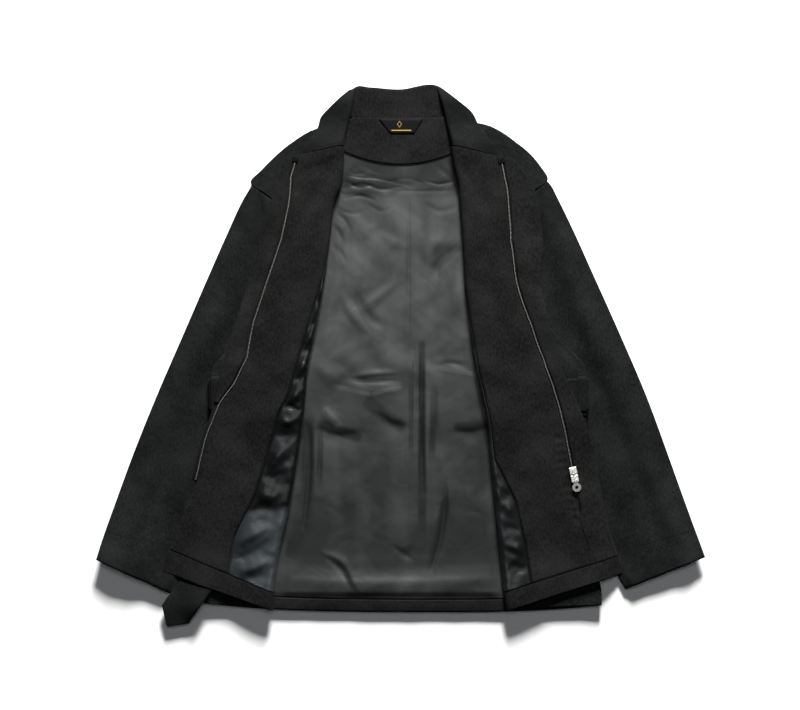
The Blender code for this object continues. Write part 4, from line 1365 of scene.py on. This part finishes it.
@dataclass
class Belt:
    """The tie belt: behind the back, round both sides through the loops, to its two pointed ends."""

    swell: Swell
    width: float = 50 * MM
    wall: float = 1.6 * MM
    middle_y: float = -57.5 * MM
    join: Point = (-0.283, 0.278)
    side: Point = (-0.2965, 0.2915)
    loops: Point = (-0.2855, 0.2805)
    turn: float = 4.2 * MM
    point: float = 22 * MM
    free_gap: float = 0.05 * MM
    on_sleeve: float = 0.55 * MM
    tip_y: float = -0.318
    tip_reach: float = 0.078
    tip_lift: float = 10 * MM
    tip: float = 1.5 * MM

    def end_height(self, plan: Array) -> Array:
        """Middle of a belt end: on the front's lower leg, or on the sleeve and then the table."""
        share = LAYERS.over_body(plan)
        on_sleeve = LAYERS.sleeves(plan) / LAYERS.sleeve_lift
        free = self.wall / 2 + self.free_gap + self.on_sleeve * on_sleeve
        tip = self.tip_lift * smooth((self.tip_y - plan[..., 1]) / self.tip_reach)
        return LAYERS.body(plan) + LAYERS.belt_end * share + free * (1 - share) + tip

    def build(self, finishes: Finishes) -> None:
        """Lay the belt's run behind the back, its two ends and its loops."""
        x = np.linspace(self.join[0], self.join[1], 120)[None, :]
        y = np.linspace(self.middle_y + self.width / 2, self.middle_y - self.width / 2, 10)[:, None]
        plan = np.stack(np.broadcast_arrays(x, y), -1)
        grid = at_height(plan, LAYERS.sleeves(plan) + self.wall / 2)
        Cloth("belt_run", grid, self.wall, "belt_back", "twill", ("sleeve_top_left", "sleeve_top_right")
              ).build(finishes.outer, self.swell.apply(grid))
        for index, (tag, path) in enumerate((("left", BELT_LEFT), ("right", BELT_RIGHT))):
            grid = self.end_grid(index, path)
            Cloth(f"belt_tail_{tag}", grid, self.wall, f"belt_end_{tag}", "twill", (f"front_{tag}",)
                  ).build(finishes.collar, self.swell.apply(grid))
            self.build_loop(tag, self.loops[index], finishes)

    def end_grid(self, index: int, path: Array) -> Array:
        """Middle surface of one end, from behind the side seam to its point."""
        sign, half = (-1, 1)[index], self.width / 2
        across = np.linspace(-1, 1, 12)
        inner = np.array([self.join[index] + sign * 0.4 * MM, self.middle_y])
        low = LAYERS.sleeves(inner) + self.wall / 2
        high = self.end_height(path[0])
        turn_x = self.side[index] - sign * (self.wall / 2 + self.turn)
        angles = np.radians(np.linspace(-90, 90, 13))
        x = np.concatenate([[inner[0]], turn_x + sign * self.turn * np.cos(angles)])
        z = np.concatenate([[low], (low + high) / 2 + (high - low) / 2 * np.sin(angles)])
        y = self.middle_y + across * half
        wrap = np.stack(np.broadcast_arrays(x[:, None], y, z[:, None]), -1)
        course = curve(path, 12 * len(path))
        heading = unit(course[-1] - course[-2])
        to_tip = np.linspace(0.08, 1, 9)
        narrowed = np.concatenate([np.full(len(course), half), half + (self.tip - half) * to_tip])
        course = np.vstack([course, course[-1] + heading * to_tip[:, None] * self.point])
        heading = unit(np.gradient(course, axis=0))
        cross = np.stack([-heading[:, 1], heading[:, 0]], -1) * narrowed[:, None] * sign
        plan = course[:, None] + cross[:, None] * across[None, :, None]
        return np.concatenate([wrap, at_height(plan, self.end_height(plan))])

    def build_loop(self, tag: str, centre: float, finishes: Finishes) -> None:
        """Lay a belt loop over the belt at a side seam."""
        along = np.concatenate([np.linspace(-33, -28, 4), np.linspace(-27, -25, 3), np.linspace(-22, 22, 24),
                                np.linspace(25, 27, 3), np.linspace(28, 33, 4)]) * MM
        share = smooth((28 * MM - np.abs(along)) / (3 * MM))
        height = LAYERS.loop_end + (LAYERS.loop - LAYERS.loop_end) * share
        x = centre + np.linspace(-7, 7, 8) * MM
        plan = np.stack(np.broadcast_arrays(x[None, :], (self.middle_y + along)[:, None]), -1)
        grid = at_height(plan, LAYERS.body(plan) + height[:, None])
        Cloth(f"loop_{tag}", grid, 1.0 * MM, f"belt_loop_{tag}", "twill", (f"belt_end_{tag}",)
              ).build(finishes.collar, self.swell.apply(grid))


# ---- Zip ----


@dataclass
class Zip:
    """One side of the zip along a front: its tape, its bright teeth and the near-black bar tack over its
    start, which also stands as painted shadow for the dark notch there.

    `first_tooth` and the two ends of `tack_span` are levels of the front; the tape lies on the cloth
    up to the start of `tape_turn`, and under it past its length.
    """

    front: Front
    tape_half: float = 5.4 * MM
    tape_drop: float = 1.2 * MM
    tooth: Vector3 = (2.4 * MM, 1.25 * MM, 1.4 * MM)
    tooth_rise: float = 0.35 * MM
    pitch: float = 2.0 * MM
    first_tooth: float = 0.80
    tape_turn: Point = (0.76, 0.06)
    tack_span: Point = (0.16, 0.78)
    tack_rise: float = 1.3 * MM
    tack_width: float = 12.0 * MM

    def build(self, finishes: Finishes) -> None:
        """Lay the tape and set the teeth on it."""
        front, tag = self.front, self.front.tag
        pick = front.between(0, front.cut.zip_end)
        middle = front.turned.reach(1) - np.maximum(front.strip, 2.2 * MM)
        start, length = self.tape_turn
        tacked = 1 - smooth((front.levels[pick, None] - start) / length)
        over = self.tape_drop * (2 * tacked - 1)
        tape = front.turned.panel(pick, middle - self.tape_half, middle + self.tape_half,
                                  front.facing_out + over, 1.4 * MM)
        made = Cloth(f"zip_tape_{tag}", tape, 0.6 * MM, f"zip_{tag}", "zip_coil", (f"front_{tag}",))
        made.build(finishes.tape, front.swell.apply(tape))
        pick = front.between(self.first_tooth, front.cut.zip_end)
        line = front.turned.surface(pick, middle[pick][:, None], front.facing_out + self.tooth_rise)
        points, ways = spaced(front.swell.apply(line)[:, 0], self.pitch)
        across = np.cross(np.array([0.0, 0.0, 1.0]), unit(ways))
        teeth = lozenges(f"zip_teeth_{tag}", points, across, self.tooth, finishes.teeth)
        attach(teeth, "jacket")
        # The near-black bar tack over the tape's start: a real bar tack, and painted shadow for the notch at
        # the zip's top
        pick = front.between(*self.tack_span)
        tack = front.turned.surface(pick, middle[pick][:, None], front.facing_out + self.tack_rise)
        stitch(f"bar_tack_and_shadow_{tag}", front.swell.apply(tack)[:, 0], 0.7 * MM, finishes.tack,
               0.9 * MM, self.tack_width)


# ---- Stage ----


@dataclass(frozen=True)
class Stage:
    """Table top, lights and camera."""

    ground: float = 6.0
    camera_place: Vector3 = (-0.0006, 0.0034, 3.5)
    lens: float = 101.6
    key_place: Vector3 = (0.50, 4.18, 2.20)
    key_power: float = 800.0
    key_size: float = 1.1
    key_colour: str = "#fffffd"
    top_place: Vector3 = (0.05, 0.60, 3.7)
    top_power: float = 19.0
    top_size: float = 1.5
    top_colour: str = "#f8fbff"
    fill_strength: float = 0.02
    fill_colour: str = "#f4f7fa"

    def build(self) -> None:
        """Set up everything that isn't part of the jacket."""
        bpy.ops.mesh.primitive_plane_add(size=self.ground, location=(0, 0, 0))
        floor = bpy.context.object
        floor.name = "table_top"
        floor.data.materials.append(TABLE.material())
        self.light("key", self.key_place, self.key_size, self.key_power, self.key_colour)
        self.light("top", self.top_place, self.top_size, self.top_power, self.top_colour)
        world = bpy.data.worlds.new("Studio")
        bpy.context.scene.world = world
        bpy.context.scene.view_settings.view_transform = "Standard"
        world.use_nodes = True
        background = world.node_tree.nodes["Background"]
        background.inputs["Color"].default_value = linear(self.fill_colour)
        background.inputs["Strength"].default_value = self.fill_strength
        camera = bpy.data.cameras.new("Camera")
        camera.sensor_width, camera.lens = 36.0, self.lens
        placed = bpy.data.objects.new("Camera", camera)
        placed.location = self.camera_place
        bpy.context.scene.collection.objects.link(placed)
        bpy.context.scene.camera = placed

    def light(self, name: str, place: Vector3, size: float, power: float, colour: str) -> None:
        """Add a square soft light that points at the jacket."""
        lamp = bpy.data.lights.new(name, "AREA")
        lamp.shape, lamp.size, lamp.energy, lamp.color = "SQUARE", size, power, linear(colour)[:3]
        placed = bpy.data.objects.new(name, lamp)
        placed.location = place
        placed.rotation_euler = (-Vector(place)).to_track_quat("-Z", "Y").to_euler()
        bpy.context.scene.collection.objects.link(placed)


def crease_rows(*rows: tuple[float, ...]) -> tuple[Crease, ...]:
    """Write creases in millimetres.

    Args:
        *rows: Height, half width and skew, then x and y of each point of the course.

    Returns:
        The creases.
    """
    return tuple(Crease(tuple((x * MM, y * MM) for x, y in zip(row[3::2], row[4::2])),
                        row[0] * MM, row[1] * MM, row[2]) for row in rows)


# Folds and puffs that all of a front's layers share, or that a sleeve and the body share, and last
# the row of short puckers beside the right front's zip
SWELL = Swell(crease_rows(
    (-2, 8, 0, -129, 297, -145, 289, -158, 277), (-1.8, 7, 0, -116, 303, -124, 292, -133, 278),
    (-2.8, 10, 0, -94, 305, -106, 300, -122, 267, -157, 203), (1.8, 13, 0, -104, 285, -122, 240, -140, 205),
    (1.6, 12, 0, -168, 262, -178, 220, -186, 180), (-1.6, 9, 0, -190, 60, -200, 10, -214, -40, -222, -90),
    (1.6, 14, 0, -160, 40, -176, -30, -196, -90), (-1.6, 10, 0, -240, -60, -236, -130, -246, -200),
    (1.8, 15, 0, -214, -150, -224, -220, -240, -270), (-1.4, 8, 0, -290, -120, -300, -180, -312, -250),
    (-2.2, 9, 0, 86, 320, 98, 292, 117, 258), (-1.6, 8, 0, 112, 300, 126, 262, 134, 215),
    (1.6, 13, 0, 104, 240, 112, 180, 122, 120), (-1.8, 9, 0, 128, 170, 138, 110, 150, 50),
    (1.6, 14, 0, 160, 120, 168, 60, 176, 10), (-1.6, 9, 0, 168, -30, 182, -90, 196, -150),
    (1.6, 15, 0, 206, -110, 222, -180, 238, -250), (-1.8, 10, 0, 250, -128, 262, -200, 272, -262),
    (1.2, 9, 0, 232, 100, 242, 60, 252, 26), (-1.6, 6, 0, 250, 18, 262, 2, 275, -18),
    *((-2.2, 4.0, 0, 237 + 2.6 * step, -124 - step * 12.5, 252 + 2.6 * step, -126 - step * 12.5)
      for step in range(11)),
))
# The back's loose satin lining: troughs and ridges between its puffs
BACK_CREASES = crease_rows(
    (-1.6, 3, 0, 13, 238, 13, 140, 13, 42), (-0.9, 3, 0, 13, 42, 12, -60, 11, -200, 10, -330),
    (-4.2, 3.4, 0, 34, 20, 33, -60, 33, -130, 34, -212), (-2.2, 2.8, 0, 22, 12, 22, -60, 21, -130),
    (-2.2, 6, 0, 52, -48, 53, -100, 56, -146), (-3.6, 3.8, 0, 71, -190, 68, -240, 60, -290, 47, -330),
    (1.8, 8, 0, 62, -150, 72, -200, 80, -250), (-3.6, 4, 0, -146, -100, -141, -130, -142, -190, -150, -266),
    (-2, 2.8, 0, -125, -105, -124, -140, -126, -192), (0.8, 8, 0, -134, -88, -133, -150, -137, -220),
    (-2.8, 10, -0.4, -126, -112, -100, -122, -60, -116), (2.8, 8, 0, -118, -78, -108, -92, -96, -102),
    (-2.6, 10, -0.4, -34, -88, -12, -104, 10, -108), (-2.6, 9, -0.4, 84, -114, 112, -116, 146, -104),
    (1.2, 8, -0.3, -86, -38, -64, -48, -34, -53, -2, -48), (1.7, 4.5, 0.3, -74, -30, -40, -26, -6, -24),
    (-1.3, 4, 0, -70, -38, -40, -39, -10, -36), (0.8, 8, -0.3, 50, -8, 82, -17, 118, -30),
    (0.5, 5, 0, 48, -6, 76, -3, 104, -5), (-0.9, 4, 0, 60, -12, 82, -10, 104, -16),
    (2.4, 8.5, 0.2, -90, 96, -74, 66, -48, 35), (2.2, 8.5, -0.2, -58, 78, -32, 96, -8, 113),
    (-2.2, 9, 0, -66, 90, -48, 62, -28, 48), (2, 12, 0, -120, -20, -104, -32, -84, -20),
    (-3, 9, 0.3, 54, 118, 60, 146, 76, 162, 98, 168), (2.6, 10, 0, 44, 132, 46, 164, 66, 184),
    (2, 14, 0, 76, 130, 90, 110, 96, 80), (-1.2, 3.4, 0.4, -98, 284, -62, 278, -34, 276, 14, 265),
    (0.3, 5, 0, -96, 276, -60, 270, -20, 268), (-1.2, 3.2, 0, -88, 262, -56, 268, -30, 260, 2, 264),
    (0.3, 5, 0, -84, 254, -50, 258, -22, 251), (-1.2, 3, 0, -90, 246, -62, 250, -40, 243),
    (-0.8, 3, 0, -90, 302, -74, 296, -60, 284, -38, 279), (-1.2, 2.8, 0, -84, 292, -70, 284, -52, 286),
    (-1.2, 3, 0, -96, 272, -80, 270, -66, 263, -44, 266), (-1.2, 2.8, 0, -60, 302, -46, 290, -24, 283),
    (-1, 2.8, 0, -100, 258, -84, 252, -70, 255), (-1, 2.8, 0, -20, 272, 10, 277, 34, 270),
    (-1, 2.8, 0, 40, 272, 62, 268, 88, 274), (-0.9, 3, 0, -106, 236, -90, 226, -70, 222, -54, 228),
    (-0.8, 3, 0, -50, 236, -30, 226, -14, 230), (-0.9, 3, 0, -112, 204, -100, 198, -92, 184),
    (-0.9, 3, 0, -114, 190, -104, 176, -100, 160, -92, 150), (-0.5, 2.6, 0, -20, 258, 30, 257, 86, 258),
    (-2, 5, 0, 50, 300, 70, 286, 92, 262), (1.6, 4.5, 0, 60, 304, 80, 288, 96, 270),
    (-1.6, 4, 0, -104, 228, -88, 214, -78, 196), (1.4, 4, 0, -110, 216, -92, 200, -84, 182),
    (-1.4, 4, 0, -112, 178, -94, 164, -84, 148), (-1.2, 5, 0, 40, 236, 62, 226, 88, 232),
    (1.4, 8, 0, -30, 190, 0, 172, 20, 178), (2.2, 5, 0.3, -120, -303, -88, -319, -66, -360),
    (-1.6, 4, 0, -112, -312, -92, -330, -76, -360), (-1.6, 5, 0, -12, -292, 4, -304, 18, -312),
    (2.2, 12, -0.3, -170, -344, -60, -350, 40, -348, 158, -342),
    (-0.9, 10, 0, -176, -318, -80, -328, 30, -326, 150, -318),
    (1.2, 18, 0, -90, -180, -70, -230, -60, -280), (1.2, 16, 0, 100, -160, 112, -220, 116, -290),
)
# Loose satin on the fronts' turned-back legs
SATIN_CREASES = {
    Side.LEFT: crease_rows(
        (2.4, 6, 0, -122, 118, -128, 100, -134, 92), (-1.8, 4, 0, -122, 92, -132, 84, -142, 82),
        (2.6, 6, 0, -128, 76, -138, 60, -146, 56), (-2, 4, 0, -132, 56, -142, 44, -152, 42),
        (2.6, 6, 0, -136, 34, -146, 24, -158, 22), (-2, 4, 0, -140, 12, -152, 8, -164, 12),
        (3, 7, 0, -146, -8, -158, -18, -172, -14), (-2.2, 5, 0, -150, -32, -162, -34, -178, -28),
        (2.6, 8, 0, -154, -52, -168, -60, -184, -52), (-2.4, 5, 0, -158, -82, -176, -74, -194, -84),
        (2.6, 6, 0, -160, -94, -176, -100, -196, -92), (-2.2, 6, 0, -164, -116, -180, -122, -198, -118),
        (2.8, 10, 0, -172, -140, -186, -150, -202, -170), (-2.2, 7, 0, -178, -176, -196, -186, -214, -180),
        (2.4, 10, 0, -186, -206, -204, -214, -226, -206), (-2.6, 7, 0, -192, -236, -214, -232, -240, -244),
        (3.6, 10, 0, -206, -262, -228, -272, -252, -290), (-2.4, 6, 0, -198, -282, -222, -300, -250, -312),
        (3, 8, 0, -202, -316, -224, -322, -250, -330), (-2, 6, 0, -206, -334, -224, -342, -246, -344),
    ),
    Side.RIGHT: crease_rows(
        (2, 5, 0, 122, 0, 128, -12, 134, -22), (-1.8, 4, 0, 124, -26, 132, -34, 140, -34),
        (2.2, 5, 0, 128, -44, 136, -52, 146, -56), (-2, 4, 0, 134, -74, 142, -80, 152, -78),
        (2.4, 6, 0, 138, -100, 148, -106, 158, -102), (-2, 5, 0, 144, -130, 152, -140, 164, -138),
        (3.2, 8, 0, 152, -168, 164, -180, 176, -196), (-2.6, 6, 0, 154, -206, 168, -212, 184, -208),
        (3, 8, 0, 158, -226, 176, -236, 190, -252), (-2.4, 6, 0, 160, -262, 178, -266, 194, -276),
        (3, 8, 0, 166, -290, 182, -294, 200, -306), (-2.2, 6, 0, 168, -318, 184, -326, 202, -330),
    ),
}
SLEEVE_CREASES = {
    Side.LEFT: crease_rows(
        (-2.4, 6, 0, -218, 256, -217, 230, -219, 203), (1.8, 12, 0, -238, 200, -252, 150, -262, 110),
        (-1.8, 9, 0, -222, 150, -240, 90, -262, 40), (2, 14, 0, -280, 80, -306, 20, -326, -40),
        (-1.8, 10, 0, -296, 10, -322, -60, -352, -130), (1.8, 16, 0, -342, -60, -372, -140, -400, -210),
        (-1.6, 9, 0, -330, -150, -356, -210, -376, -262), (1.4, 10, 0, -386, -220, -412, -262, -430, -300),
    ),
    Side.RIGHT: crease_rows(
        (-2, 7, 0, 226, 240, 234, 210, 240, 176), (1.8, 12, 0, 246, 196, 256, 150, 266, 104),
        (-1.8, 9, 0, 250, 110, 268, 60, 286, 6), (2, 14, 0, 292, 60, 314, 0, 338, -60),
        (-1.8, 10, 0, 306, -40, 332, -100, 356, -160), (1.8, 16, 0, 352, -80, 380, -150, 404, -220),
        (-1.6, 9, 0, 340, -170, 362, -226, 380, -262), (1.4, 10, 0, 402, -226, 420, -262, 438, -290),
    ),
}


def main() -> None:
    """Build the jacket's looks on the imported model, and its stage."""
    logging.basicConfig(level=logging.INFO, format="%(message)s")
    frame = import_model()
    finishes = Finishes()
    Stage().build()
    back = Back(SWELL, BACK_CREASES)
    back.build(finishes)
    back.sew(finishes)
    for cut in (LEFT_CUT, RIGHT_CUT):
        front = Front(cut, SWELL, SATIN_CREASES[cut.side])
        front.build(finishes)
        front.sew(finishes)
        Zip(front).build(finishes)
    Collar(SWELL).build(finishes)
    Sleeve(Side.LEFT, LEFT_SLEEVE, SWELL, SLEEVE_CREASES[Side.LEFT]).build(finishes)
    Sleeve(Side.RIGHT, RIGHT_SLEEVE, SWELL, SLEEVE_CREASES[Side.RIGHT]).build(finishes)
    Belt(SWELL).build(finishes)
    for node in ("slider_lower", "slider_upper", "pull_tab"):
        piece = frame["nodes"][node]
        piece.data.materials.clear()
        piece.data.materials.append(finishes.nickel)
        LOG.info("%s: plated", node)


if __name__ == "__main__":
    main()
